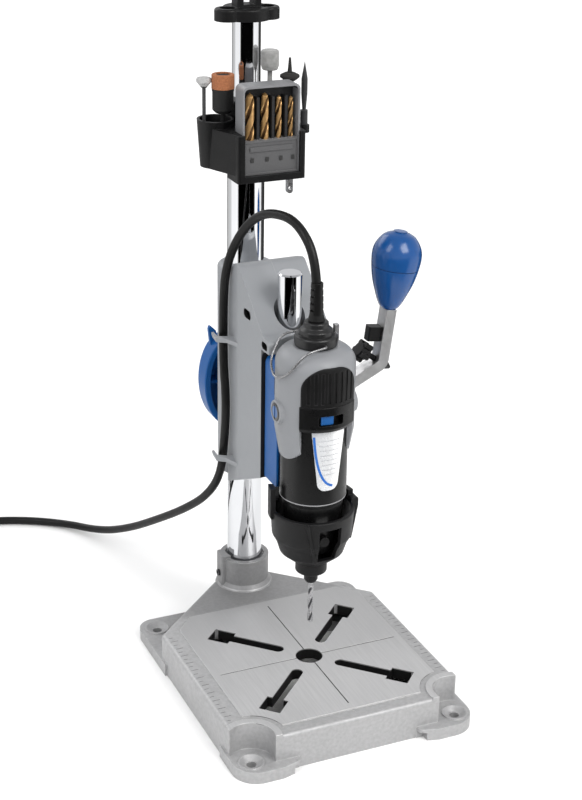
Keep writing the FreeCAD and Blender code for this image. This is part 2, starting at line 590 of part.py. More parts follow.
def screw_well(y, z, radius, stretch):
    """Oval well sunk into the left shell, along X."""
    ends = [rod(radius, Vector(-40, y + way * stretch, z), Vector(-HEAD_HALF + 4.5, y + way * stretch, z))
            for way in (-1, 1)]
    middle = box(-40, -HEAD_HALF + 4.5, y - stretch, y + stretch, z - radius, z + radius)
    return fuse(middle, *ends)


def cord_clip(z):
    """Finger on the left shell that passes in front of the cord and curls back at its tip."""
    root = Vector(-22.5, behind(78), 0)
    reach = [(-20.0, behind(73)), (-24.0, behind(73)), (-27.5, behind(86)), (-32.5, behind(93)),
             (-31.5, behind(103)), (-29.8, behind(103)), (-30.2, behind(94.5)), (-25.5, behind(89)),
             (-20.0, behind(84))]
    finger = slab_up(reach, z - 1.7, z + 1.7)
    finger.rotate(root + UP * z, Vector(0, 1, 0), -14.0)
    return finger


def housing_left(body):
    half = body.common(box(-60, 0, -60, 200, 90, 320))
    boss_hole = rod(2.6, Vector(-30, behind(114), 264), Vector(-17.5, behind(114), 264))
    half = half.cut([screw_well(*place) for place in SCREW_PLACES] + [boss_hole])
    clips = [cord_clip(z).cut(post(16, 0, GEAR_Y, 100, 300)) for z in CLIP_HEIGHTS]
    return fuse(half, *clips)


def housing_right(body):
    return body.common(box(0, 60, -60, 200, 90, 320))


def housing_screws():
    """Pan-head screws at the bottom of the wells."""
    screws = []
    for y, z, radius, _ in SCREW_PLACES:
        head = rod(radius - 0.3, Vector(-HEAD_HALF + 2.6, y, z), Vector(-HEAD_HALF + 4.45, y, z))
        socket = rod(radius * 0.42, Vector(-HEAD_HALF + 2.0, y, z), Vector(-HEAD_HALF + 3.6, y, z))
        screws.append(head.cut(socket))
    return Part.makeCompound(screws)


def quill_bush():
    return turned([(QUILL_R + RUNNING, 244.05), (9.95, 244.05), (9.95, 254.0), (QUILL_R + RUNNING, 254.0)],
                  0, QUILL_Y)


def shaft_bush(x_min, x_max):
    outer = rod(6.45, Vector(x_min, GEAR_Y, GEAR_Z), Vector(x_max, GEAR_Y, GEAR_Z))
    return outer.cut(rod(SHAFT_R + RUNNING, Vector(x_min - 1, GEAR_Y, GEAR_Z), Vector(x_max + 1, GEAR_Y, GEAR_Z)))


def return_spring():
    """Flat spiral spring that lifts the quill, wound round the pinion shaft."""
    turns = 3
    steps = 10 * turns
    points = []
    for index in range(steps + 1):
        angle = 2 * math.pi * turns * index / steps
        reach = 5.6 + 1.9 * angle / (2 * math.pi)
        points.append(Vector(9.0, GEAR_Y + reach * math.cos(angle), GEAR_Z + reach * math.sin(angle)))
    inner = Part.BSplineCurve()
    inner.interpolate(points)
    outer_points = [p + (p - Vector(9.0, GEAR_Y, GEAR_Z)).normalize() * 0.6 for p in points]
    outer = Part.BSplineCurve()
    outer.interpolate(outer_points)
    caps = [Part.LineSegment(points[-1], outer_points[-1]).toShape(),
            Part.LineSegment(outer_points[0], points[0]).toShape()]
    wire = Part.Wire([inner.toShape(), caps[0], outer.toShape(), caps[1]])
    return Part.Face(wire).extrude(Vector(5.5, 0, 0))


def clamp_screw():
    """Threaded stud of the clamping knob; its end bears on the column."""
    return rod(4.0, Vector(0, COLUMN_Y + COLUMN_R + 0.1, CLAMP_Z), Vector(0, COLUMN_Y + 45.0, CLAMP_Z))


def upright_oval(half_height, half_width, y, depth):
    oval = Part.Ellipse(Vector(0, 0, 0), half_height, half_width).toShape()
    oval.Placement = Placement(Vector(0, y, CLAMP_Z), Rotation(UP, RIGHT, Vector(0, 1, 0)))
    return Part.Face(Part.Wire([oval])).extrude(Vector(0, depth, 0))


def clamp_knob():
    """Tall oval grip with a dished front face and a pointer at its upper left."""
    front = COLUMN_Y + 28.0
    depth = 18.0
    solid = upright_oval(34.7, 19.7, front, depth)
    solid = solid.makeFillet(5.0, [e for e in solid.Edges if e.BoundBox.YMin > front + depth - 0.1])
    solid = solid.makeFillet(1.0, [e for e in solid.Edges if e.BoundBox.YMax < front + 0.1])
    dish = upright_oval(30.0, 15.4, front - 1, depth - 4.0)
    hub = rod(8.0, Vector(0, front - 2, CLAMP_Z), Vector(0, front + depth - 1, CLAMP_Z))
    ribs = [box(-16, 16, front + 4, front + depth - 2, CLAMP_Z - 1, CLAMP_Z + 1),
            box(-1, 1, front + 4, front + depth - 2, CLAMP_Z - 31, CLAMP_Z + 31)]
    pointer = slab_back([(-12.0, CLAMP_Z + 25), (-6.0, CLAMP_Z + 30), (-8.0, CLAMP_Z + 38, 1),
                         (-12.6, CLAMP_Z + 42.5, 0.8), (-13.6, CLAMP_Z + 39.5, 0.8)], front + 8, front + 11)
    stud_hole = rod(4.05, Vector(0, front - 5, CLAMP_Z), Vector(0, COLUMN_Y + 45.05, CLAMP_Z))
    return fuse(solid.cut(dish), hub, pointer, *ribs).cut(stud_hole)


# --- pinion, lever and knob -----------------------------------------------------------------
LEVER_HUB_X = 33.0
LEVER_ELBOW = Vector(47.0, GEAR_Y, 193.5)
LEVER_BEND = Vector(80.5, GEAR_Y, 210.0)
LEVER_TOP = Vector(84.9, GEAR_Y, 243.2)
LEVER_HUB = Vector(LEVER_HUB_X, GEAR_Y, GEAR_Z)


def pinion():
    """Involute gear on the lever's shaft, with a tooth pointing at the rack."""
    pressure = math.radians(20)
    base_r = GEAR_PITCH_R * math.cos(pressure)
    root_r = GEAR_PITCH_R - 1.25 * GEAR_MODULE
    tip_r = GEAR_PITCH_R + GEAR_MODULE - 0.1
    half_tooth = math.pi / (2 * GEAR_TEETH) - 0.27 / GEAR_PITCH_R
    involute = math.tan(pressure) - pressure

    def flank(radius):
        if radius <= base_r:
            return half_tooth + involute
        roll = math.acos(base_r / radius)
        return half_tooth + involute - (math.tan(roll) - roll)

    radii = [root_r, base_r, GEAR_PITCH_R - 0.5, GEAR_PITCH_R + 0.4, tip_r]
    corners = []
    for tooth in range(GEAR_TEETH):
        centre = math.pi + 2 * math.pi * tooth / GEAR_TEETH
        rising = [(r, centre - flank(r)) for r in radii]
        falling = [(r, centre + flank(r)) for r in reversed(radii)]
        corners += [(GEAR_Y + r * math.cos(a), GEAR_Z + r * math.sin(a)) for r, a in rising + falling]
    wheel = slab_side(corners, -5.0, 5.0)
    shaft = rod(SHAFT_R, Vector(-22.8, GEAR_Y, GEAR_Z), Vector(39.0, GEAR_Y, GEAR_Z))
    return fuse(wheel, shaft)


def lever_hub():
    hub = rod(10.0, Vector(25.0, GEAR_Y, GEAR_Z), Vector(40.0, GEAR_Y, GEAR_Z))
    hub = hub.makeFillet(1.5, [e for e in hub.Edges if e.BoundBox.XLength < 0.1])
    bore = rod(SHAFT_R, Vector(20.0, GEAR_Y, GEAR_Z), Vector(39.0, GEAR_Y, GEAR_Z))
    return hub.cut(fuse(bore, lever_arm_blank()))


def lever_arm_blank():
    """Flat bar with two bends, so that the knob stands clear of the tool."""
    half = 3.9
    first = (LEVER_ELBOW - LEVER_HUB).normalize()
    second = (LEVER_BEND - LEVER_ELBOW).normalize()
    third = (LEVER_TOP - LEVER_BEND).normalize()
    start = LEVER_HUB - first * 4.0
    end = LEVER_TOP + third * 6.0

    def side(way):
        return Vector(-way.z, 0, way.x) * half

    def shift(way_in, way_out):
        return (side(way_in) + side(way_out)) * (1 / (1 + way_in.dot(way_out)))

    corners = [(start + side(first), 0), (LEVER_ELBOW + shift(first, second), 9.0),
               (LEVER_BEND + shift(second, third), 3.0), (end + side(third), 0), (end - side(third), 0),
               (LEVER_BEND - shift(second, third), 10.0), (LEVER_ELBOW - shift(first, second), 3.0),
               (start - side(first), 0)]
    corners = [(Vector(p.x, GEAR_Y - 5.5, p.z), r) for p, r in corners]
    return Part.Face(outline(corners)).extrude(Vector(0, 11.0, 0))


def lever_arm():
    bar = lever_arm_blank()
    along = (LEVER_TOP - LEVER_BEND).normalize()
    spigot = rod(3.0, LEVER_TOP + along * 5.0, LEVER_TOP + along * 36.0)
    shaft_bore = rod(SHAFT_R + 0.01, Vector(20.0, GEAR_Y, GEAR_Z), Vector(39.01, GEAR_Y, GEAR_Z))
    lock_start, lock_end = lock_screw_ends()
    return fuse(bar, spigot).cut([shaft_bore, rod(2.1, lock_start, lock_end)])


def lever_knob():
    """Egg-shaped handle, wide end up, free to turn on the lever's spigot."""
    along = (LEVER_TOP - LEVER_BEND).normalize()
    heights = [(5.0, 0.0), (8.0, 3.6), (10.8, 10.0), (13.8, 18.0), (16.0, 27.0), (17.0, 34.0), (17.2, 38.0),
               (16.16, 43.88), (13.18, 49.06), (8.6, 52.9), (4.45, 54.6), (0.0, 55.2)]
    curve = Part.BSplineCurve()
    curve.interpolate([Vector(r, 0, z) for r, z in heights],
                      InitialTangent=Vector(3.0, 0, 2.0), FinalTangent=Vector(-4.5, 0, 0))
    edges = [curve.toShape(),
             Part.LineSegment(Vector(0, 0, 55.2), Vector(0, 0, 0)).toShape(),
             Part.LineSegment(Vector(0, 0, 0), Vector(5.0, 0, 0)).toShape()]
    egg = Part.Face(Part.Wire(edges)).revolve(Vector(0, 0, 0), UP, 360)
    seam = turned([(15.6, 29.6), (19.0, 29.6), (19.0, 30.1), (15.6, 30.1)], 0, 0)
    bore = post(3.0 + RUNNING, 0, 0, -1, 33.0)
    egg = egg.cut([seam, bore])
    egg.Placement = Placement(LEVER_TOP + along * 6.05, Rotation(UP, along))
    return egg


def lock_screw_ends():
    """The star knob's screw runs through the lever at its bend."""
    way = Vector(19.0, 0, -13.5).normalize()
    return LEVER_BEND - way * 17.0, LEVER_BEND + way * 8.5


def lever_stop_block():
    """Black block on the lever's inner side, above the star knob."""
    along = (LEVER_TOP - LEVER_BEND).normalize()
    middle = LEVER_BEND + along * 22.8 - Vector(11.1, 0, 0)
    block = box(-2.8, 7.2, -3.6, 3.6, -5.2, 5.2)
    block = block.makeFillet(1.0, [e for e in block.Edges if is_upright(e)])
    block.Placement = Placement(middle, Rotation(UP, along))
    return block.cut(lever_arm_blank())


def star_knob():
    start, end = lock_screw_ends()
    way = (end - start).normalize()
    stem = Part.makeCylinder(2.0, 22.0, Vector(0, 0, 3.5))
    hub = Part.makeCylinder(5.0, 8.0, Vector(0, 0, 0))
    points = [Part.makeCylinder(2.1, 6.5, Vector(math.cos(a) * 5.8, math.sin(a) * 5.8, 0.7))
              for a in [math.radians(72 * k) for k in range(5)]]
    tip = Part.makeCone(4.2, 1.2, 6.0, Vector(0, 0, 24.4))
    knob = fuse(stem, hub, *points)
    knob = fuse(knob, tip)
    knob.Placement = Placement(start - way * 4.0, Rotation(UP, way))
    return knob


# --- quill, carriage and tool holder --------------------------------------------------------
def quill():
    """Chrome rod with a rack cut along its back; it carries the carriage up and down."""
    body = post(QUILL_R, 0, QUILL_Y, QUILL_BOTTOM, QUILL_TOP)
    body = body.makeChamfer(1.0, [e for e in body.Edges if e.BoundBox.ZMin > QUILL_TOP - 0.1])
    pitch = math.pi * GEAR_MODULE
    flat = box(-10, 10, RACK_TIP_Y, RACK_TIP_Y + 5, QUILL_BOTTOM - 1, GEAR_Z + 11.5 * pitch)
    root_y = RACK_TIP_Y - 2.25 * GEAR_MODULE
    narrow = pitch / 4 - 1.25 * GEAR_MODULE * math.tan(math.radians(20))
    wide = pitch / 4 + GEAR_MODULE * math.tan(math.radians(20))
    gaps = []
    for index in range(-2, 11):
        z = GEAR_Z + index * pitch
        gaps.append(slab_side([(root_y, z - narrow), (root_y, z + narrow),
                               (RACK_TIP_Y + 0.01, z + wide), (RACK_TIP_Y + 0.01, z - wide)], -10, 10))
    return body.cut([flat] + gaps)


def carriage():
    """Blue slide in front of the housing, joined to the quill by a lug above the pinion."""
    side_view = [(CARRIAGE_FRONT, CARRIAGE_BOTTOM, 3.0), (CARRIAGE_BACK, CARRIAGE_BOTTOM, 1.0),
                 (CARRIAGE_BACK, CARRIAGE_TOP, 1.0), (CARRIAGE_FRONT, CARRIAGE_TOP, 7.0)]
    block = slab_side(side_view, -CARRIAGE_HALF, CARRIAGE_HALF)
    front_view = slab_back([(-CARRIAGE_HALF, CARRIAGE_BOTTOM, 1), (CARRIAGE_HALF, CARRIAGE_BOTTOM, 1),
                            (CARRIAGE_HALF, CARRIAGE_TOP, 7), (-CARRIAGE_HALF, CARRIAGE_TOP, 7)],
                           WORK_Y, behind(60))
    block = block.common(front_view)
    cradle = fuse(post(TOOL_R + 0.6, 0, WORK_Y, 100, 222), post(SHELL_R + 0.5, 0, WORK_Y, 221.5, 300))
    upper_lug = box(-10.5, 10.5, CARRIAGE_BACK - 1, behind(45.5), 229, 243)
    lug_round = post(10.5, 0, QUILL_Y, 229, 243).cut(box(-20, 20, behind(49), behind(60), 200, 260))
    lower_lug = box(-10.5, 10.5, CARRIAGE_BACK - 1, behind(43.5), CARRIAGE_BOTTOM + 1.5, 168)
    body = fuse(block.cut(cradle), upper_lug, lug_round, lower_lug)
    quill_room = post(QUILL_R + 0.01, 0, QUILL_Y, 140, 300)
    return body.cut(quill_room)


def tool_holder():
    """Black cup under the tool: a round bowl, a threaded neck, two arms and a window in front."""
    outside = [(0, 95.5), (10.7, 95.5, 1.5), (10.7, 103.5), (15.5, 107, 2), (21.5, 112, 3), (24.0, 120, 3),
               (26.8, 125.0, 3), (28.0, 143.5, 1), (0, 143.5)]
    outer = turned(outside, 0, WORK_Y)
    skin = turned([(r + 1.4 if r else 0, *rest) for r, *rest in outside], 0, WORK_Y)
    inner = turned([(0, 104.8), (12.9, 107.9), (19.0, 113.5, 2), (21.6, 121, 2), (24.5, 126.5, 2),
                    (25.6, 150), (0, 150)], 0, WORK_Y)
    bowl = outer.cut(fuse(inner, post(8.2, 0, WORK_Y, 90, 110)))
    arm_ring = turned([(26.0, 138), (29.6, 138, 1.5), (29.6, 161, 1.5), (26.0, 161)], 0, WORK_Y)
    left_arm = arm_ring.common(wedge(0, WORK_Y, 60, 168, 9, 130, 160))
    right_arm = arm_ring.common(wedge(0, WORK_Y, 60, 10, 11, 130, 150.5))
    back_ring = turned([(24.9, 130), (28.0, 130), (28.0, 155.8), (24.9, 155.8)], 0, WORK_Y)
    back_web = back_ring.common(wedge(0, WORK_Y, 60, 90, 40, 120, 160))
    foot = box(-16, 16, behind(25.5), behind(29.5), 138, CARRIAGE_BOTTOM - 0.05)
    strap = slab_back([(23, 118), (26.5, 117, 1), (31.0, 141, 1), (31.0, 147, 1), (26, 147)],
                      behind(-6), behind(2)).cut(post(26.5, 0, WORK_Y, 121, 160))
    rib = slab_back([(-15.5, 143), (-13.8, 143), (-10.6, 126), (-5.5, 110), (-7.5, 110), (-12.4, 126)],
                    behind(-40), WORK_Y).common(skin)
    holder = fuse(bowl, back_web, foot, strap.cut(inner), rib.cut(outer), left_arm, right_arm)
    window = wedge(0, WORK_Y, 60, -87, 17, 113, 138).cut(post(12, 0, WORK_Y, 90, 150))
    side_window = wedge(0, WORK_Y, 60, 35, 16, 122, 137).cut(post(12, 0, WORK_Y, 90, 150))
    return holder.cut([window, side_window])


# --- rotary tool ----------------------------------------------------------------------------
BRUSH_Z = 216.0


def motor_housing():
    """Black front body: the barrel, the nose and its threaded end."""
    outer = turned([(0, 106), (8.0, 106), (8.0, 112), (14.0, 114, 1), (17.5, 130, 3), (20.5, 151, 1), (21.0, 153),
                    (TOOL_R, 154, 0.5), (TOOL_R, 222), (0, 222)], 0, WORK_Y)
    inner = turned([(0, 116.5), (11.0, 116.5), (14.5, 131, 2), (17.5, 153), (19.8, 156), (19.8, 223), (0, 223)],
                   0, WORK_Y)
    lock_hole = rod(3.6, Vector(0, behind(-40), 126), Vector(0, WORK_Y, 126))
    return outer.cut([inner, post(5.0, 0, WORK_Y, 100, 120), lock_hole])


def rear_profile(offset):
    """Outline of the tool's domed rear half, as (radius, z, corner radius)."""
    return [(SHELL_R + offset, 222.1), (SHELL_R + offset, 254.5 + offset * 0.6, 11.0),
            (15.5 + offset * 0.7, 258.5 + offset)]


def rear_shell():
    """Grey rear half of the tool's body, with a cheek running down each side of the barrel."""
    outer = turned([(0, 222.1)] + rear_profile(0) + [(0, 258.5)], 0, WORK_Y)
    inner = turned([(0, 222.0)] + rear_profile(-2.4) + [(0, 256.1)], 0, WORK_Y)
    dome = outer.cut([inner, post(6.0, 0, WORK_Y, 250, 262)])
    shell = fuse(dome, side_cheek(0), side_cheek(180))
    collar_room = wedge(0, WORK_Y, 60, -90, 46.0, 180, 225.2)
    caps = [rod(6.1, Vector(side * 10, WORK_Y, BRUSH_Z), Vector(side * 40, WORK_Y, BRUSH_Z)) for side in (-1, 1)]
    return shell.cut([collar_room] + caps)


def side_cheek(angle):
    """Cheek that runs down the barrel and carries the brush cap's boss."""
    skin = turned([(TOOL_R + 0.05, 184.5), (TOOL_R + 0.6, 184.5), (SHELL_R, 203, 8), (SHELL_R, 224),
                   (TOOL_R + 0.05, 224)], 0, WORK_Y)
    direction = Vector(math.cos(math.radians(angle)), math.sin(math.radians(angle)), 0)
    across = Vector(-direction.y, direction.x, 0)
    half = 18.4
    base = Vector(0, WORK_Y, 0) + direction * 10
    corners = [(base - across * half + UP * 184.5, 15.0), (base + across * half + UP * 184.5, 15.0),
               (base + across * half + UP * 230, 0), (base - across * half + UP * 230, 0)]
    front = Part.Face(outline(corners)).extrude(direction * 30)
    middle = Vector(0, WORK_Y, BRUSH_Z)
    boss = cone(9.0, 7.6, middle + direction * 23, middle + direction * 27.6)
    barrel = post(TOOL_R + 0.05, 0, WORK_Y, 170, 240)
    return fuse(skin.common(front), boss).cut([barrel, box(-60, 60, behind(9.2), behind(40), 170, 222.1)])


def brush_cap(angle):
    direction = Vector(math.cos(math.radians(angle)), math.sin(math.radians(angle)), 0)
    centre = Vector(0, WORK_Y, BRUSH_Z)
    cap = rod(6.0, centre + direction * (TOOL_R + 0.1), centre + direction * 28.0)
    cap = cap.makeFillet(0.6, [e for e in cap.Edges if e.Length > 30
                               and (e.CenterOfMass - centre).Length > 27])
    slot = box(-5.0, 5.0, -0.7, 0.7, -1.0, 1.0)
    slot.Placement = Placement(centre + direction * 28.0, Rotation(UP, direction))
    return cap.cut(slot)


def vent_cover():
    """Black ribbed air grille that follows the shoulder on the tool's front."""
    def skin(offset, low):
        return turned([(0, low), (SHELL_R + offset, low)] + rear_profile(offset)[1:] + [(0, 258.5 + offset)],
                      0, WORK_Y)

    arch = slab_back([(-18.4, 225.3), (18.4, 225.3), (18.4, 251.5, 15.0), (-18.4, 251.5, 15.0)],
                     behind(-40), behind(-8))
    cover = skin(0.9, 225.3).cut(skin(0.05, 222.1)).common(arch)
    groove_skin = skin(2.0, 227.5).cut(skin(0.4, 222.1))
    grooves = [box(x - 1.0, x + 1.0, behind(-40), behind(-5), 227.5, 248.5).common(groove_skin)
               for x in [-14.6 + 4.16 * k for k in range(8)]]
    return cover.cut(grooves)


def switch_collar():
    """Black band over the front of the barrel, with the speed slider's window."""
    band = turned([(TOOL_R + 0.05, 207.5), (25.4, 207.5, 0.8), (26.8, 210, 1), (26.8, 225.2, 0.8),
                   (TOOL_R + 0.05, 225.2)], 0, WORK_Y)
    band = band.common(wedge(0, WORK_Y, 60, -90, 45.9, 190, 230))
    window = slab_back([(-8.5, 212.5, 1.2), (8.5, 212.5, 1.2), (8.5, 219.3, 1.2), (-8.5, 219.3, 1.2)],
                       behind(-40), WORK_Y)
    return band.cut(window)


def speed_slider():
    """Blue tab of the sliding speed switch, seen through the collar's window."""
    tab = turned([(TOOL_R + 0.4, 213.0), (25.4, 213.0), (25.4, 218.8), (TOOL_R + 0.4, 218.8)], 0, WORK_Y)
    return tab.common(wedge(0, WORK_Y, 60, -95.5, 9.5, 200, 230))


def label_plate():
    """Thin rating plate: a shield that narrows towards the nose."""
    skin = turned([(TOOL_R + 0.03, 162), (TOOL_R + 0.45, 162), (TOOL_R + 0.45, 207.0), (TOOL_R + 0.03, 207.0)],
                  0, WORK_Y)
    shield = slab_back([(-10.8, 207.0, 1), (-6.4, 165.0, 5.5), (7.2, 165.0, 5.5), (12.8, 207.0, 1)],
                       behind(-40), WORK_Y)
    return skin.common(shield)


BAIL_Z = 262.3


def rear_cap():
    ring = turned([(0, 258.55), (13.9, 258.55, 1), (13.9, 266.0, 1.6), (0, 266.0)], 0, WORK_Y)
    crown = turned([(0, 265.5), (11.0, 265.5), (10.7, 269.0, 1.0), (8.2, 271.0, 1.0), (7.8, 274.6, 1.2),
                    (0, 274.6)], 0, WORK_Y)
    clip = box(12.6, 15.4, behind(-1.8), behind(1.8), 259.5, 270.5)
    bail_hole = rod(0.8, Vector(0, behind(-20), BAIL_Z), Vector(0, behind(20), BAIL_Z))
    return fuse(ring, crown, clip).cut([post(3.1, 0, WORK_Y, 250, 280), bail_hole])


def strain_relief():
    """Tapered, slotted sleeve round the cord where it leaves the tool."""
    body = turned([(0, 274.7), (5.6, 274.7, 0.6), (4.5, 279), (3.9, 300.0, 0.3), (CORD_R + RUNNING, 300.0),
                   (CORD_R + RUNNING, 285.0), (0, 285.0)], 0, WORK_Y)
    slots = []
    for level in range(4):
        z = 281.5 + level * 4.6
        for side in (-1, 1):
            slots.append(box(side * 4 - 1.3, side * 4 + 1.3, behind(-3.0), behind(3.0), z, z + 1.6))
    return body.cut(slots)


def hanging_bail():
    """Wire loop that pivots in the rear cap and hangs down the left of the shoulder."""
    wire_r = 0.75
    front = [Vector(0, behind(-12.5), BAIL_Z), Vector(0, behind(-17.0), BAIL_Z),
             Vector(-15.5, behind(-19.5), 261.3), Vector(-25.8, behind(-14.0), 246.0)]
    points = front + [Vector(-28.6, behind(0), 239.0)] + [
        Vector(p.x, behind(WORK_Y - p.y), p.z) for p in reversed(front)]
    edges = []
    here = points[0]
    for index in range(1, len(points) - 1):
        corner = points[index]
        run_in = points[index - 1] - corner
        run_out = points[index + 1] - corner
        half = run_in.getAngle(run_out) / 2
        reach = 0.42 * min(run_in.Length, run_out.Length)
        radius = reach * math.tan(half)
        start = corner + run_in.normalize() * reach
        end = corner + run_out.normalize() * reach
        middle = corner + (run_in + run_out).normalize() * (radius / math.sin(half) - radius)
        edges.append(Part.LineSegment(here, start).toShape())
        edges.append(Part.Arc(start, middle, end).toShape())
        here = end
    edges.append(Part.LineSegment(here, points[-1]).toShape())
    section = Part.Wire(Part.makeCircle(wire_r, points[0], points[1] - points[0]))
    return Part.Wire(edges).makePipeShell([section], True, False)


def shaft_lock_button():
    return rod(3.4, Vector(0, behind(-20.5), 126), Vector(0, behind(-7.0), 126))


def spindle():
    shaft = turned([(0, 98.0), (3.4, 98.0), (3.4, 108), (4.9, 108), (4.9, 122), (3.0, 122), (3.0, 250), (0, 250)],
                   0, WORK_Y)
    return shaft.cut(post(1.65, 0, WORK_Y, 90, 112))


def collet_nut():
    body = turned([(0, 87.0), (3.6, 87.0), (4.7, 89.0), (4.7, 96.2, 0.6), (4.2, 97.9), (0, 97.9)], 0, WORK_Y)
    return body.cut(post(2.05, 0, WORK_Y, 80, 100))


def collet():
    return turned([(1.62, 88.0), (2.0, 88.0), (2.0, 97.8), (1.62, 97.8)], 0, WORK_Y).cut(
        box(-0.15, 0.15, behind(-5), behind(0), 85, 95))


def drill_bit():
    """Twist drill on a 3.2 mm shank: plain shank, wider two-flute body and a point."""
    shank = post(1.6, 0, WORK_Y, 86.0, 108.0)
    flutes = post(1.9, 0, WORK_Y, 56.2, 86.2)
    tip = cone(0.1, 1.9, Vector(0, WORK_Y, 54.5), Vector(0, WORK_Y, 56.2))
    return fuse(shank, flutes, tip)


def armature():
    core = turned([(3.0, 172), (11.0, 172, 1), (11.0, 204, 1), (3.0, 204)], 0, WORK_Y)
    commutator = turned([(3.0, 206), (7.0, 206), (7.0, 216), (3.0, 216)], 0, WORK_Y)
    return fuse(core, commutator, turned([(3.0, 203.5), (4.5, 203.5), (4.5, 206.5), (3.0, 206.5)], 0, WORK_Y))


def cooling_fan():
    hub = turned([(3.0, 157), (5.5, 157), (5.5, 166), (3.0, 166)], 0, WORK_Y)
    blades = []
    for index in range(9):
        blade = box(4.8, 16.0, -0.5, 0.5, 158, 165)
        blade.Placement = Placement(Vector(0, WORK_Y, 0), Rotation(UP, index * 40))
        blades.append(blade)
    return fuse(hub, *blades)


# --- power cord -----------------------------------------------------------------------------
LOOP_ROUTE = [               # from the strain relief, over the head, down to the upper clip
    (0.0, behind(0), 285.0),
    (0.0, behind(0), 313.5),
    (-4.5, behind(20.0), 334.0),
    (-9.5, behind(47.5), 333.5),
    (-14.5, behind(68), 325.0),
    (-20.6, behind(83), 307.0),
    (-25.7, behind(91), 284.0),
    (-25.0, behind(97), 257.0),
    (-25.0, behind(97), 235.0),
]
LEAD_ROUTE = [               # from the upper clip, past the lower clip and down to the bench
    (-25.0, behind(97), 234.9),
    (-25.0, behind(97), 214.0),
    (-25.6, behind(90), 187.0),
    (-24.6, behind(96.5), 153.0),
    (-24.6, behind(104), 124.0),
    (-28.4, behind(122), 100.0),
    (-35.4, behind(151), 77.0),
    (-43.5, behind(189), 52.0),
    (-53.0, behind(229), 27.0),
    (-65.0, behind(268), 8.0),
    (-87.0, behind(302), 3.4),
    (-122.0, behind(323), 3.2),
    (-158.0, behind(332), 3.2),
    (-193.0, behind(333), 3.2),
]
COIL_R = 33.0
COIL_HALF_WIDTH = 9.2
COIL_HEIGHT = 13.0
COIL_CENTRE = Vector(-195.0, behind(294), 0)
PLUG_END = Vector(-237.5, behind(284), 8.7)
PLUG_HEADING = -99.8        # degrees from +X, the way the plug points
PLUG_NECK = 22.0


def cord_coil():
    """Outer shape of the wound-up rest of the cord."""
    low = 0.2
    return turned([(COIL_R - COIL_HALF_WIDTH, low, 4), (COIL_R + COIL_HALF_WIDTH, low, 4),
                   (COIL_R + COIL_HALF_WIDTH, COIL_HEIGHT, 4), (COIL_R - COIL_HALF_WIDTH, COIL_HEIGHT, 4)],
                  COIL_CENTRE.x, COIL_CENTRE.y)


def at_plug(shape):
    shape.Placement = Placement(PLUG_END, Rotation(UP, PLUG_HEADING))
    return shape


def plug_body():
    """Moulded plug; its tapered neck meets the coil."""
    grip = box(PLUG_NECK, PLUG_NECK + 34, -12, 12, -8.5, 8.5)
    grip = grip.makeFillet(4.0, [e for e in grip.Edges if e.BoundBox.XLength > 30 or e.BoundBox.XMax < 23])
    neck = cone(3.8, 5.6, Vector(0, 0, 0), Vector(PLUG_NECK + 2, 0, 0))
    return at_plug(fuse(grip, neck).cut(rod(CORD_R, Vector(-1, 0, 0), Vector(14, 0, 0))))


def plug_blades():
    start = PLUG_NECK + 34
    blades = [box(start, start + 16.5, side * 6.35 - 0.75, side * 6.35 + 0.75, -3.2, 3.2) for side in (-1, 1)]
    return at_plug(Part.makeCompound(blades))


def coil_tie():
    """Hook-and-loop strap round one side of the coil."""
    x = COIL_R
    outer = box(x - 11.4, x + 10.7, -6, 6, 0.0, COIL_HEIGHT + 1.4)
    inner = box(x - 10.1, x + 9.4, -7, 7, -1.0, COIL_HEIGHT + 0.2)
    strap = outer.cut(inner)
    strap.Placement = Placement(Vector(COIL_CENTRE.x, COIL_CENTRE.y, 0), Rotation(UP, 215))
    return strap


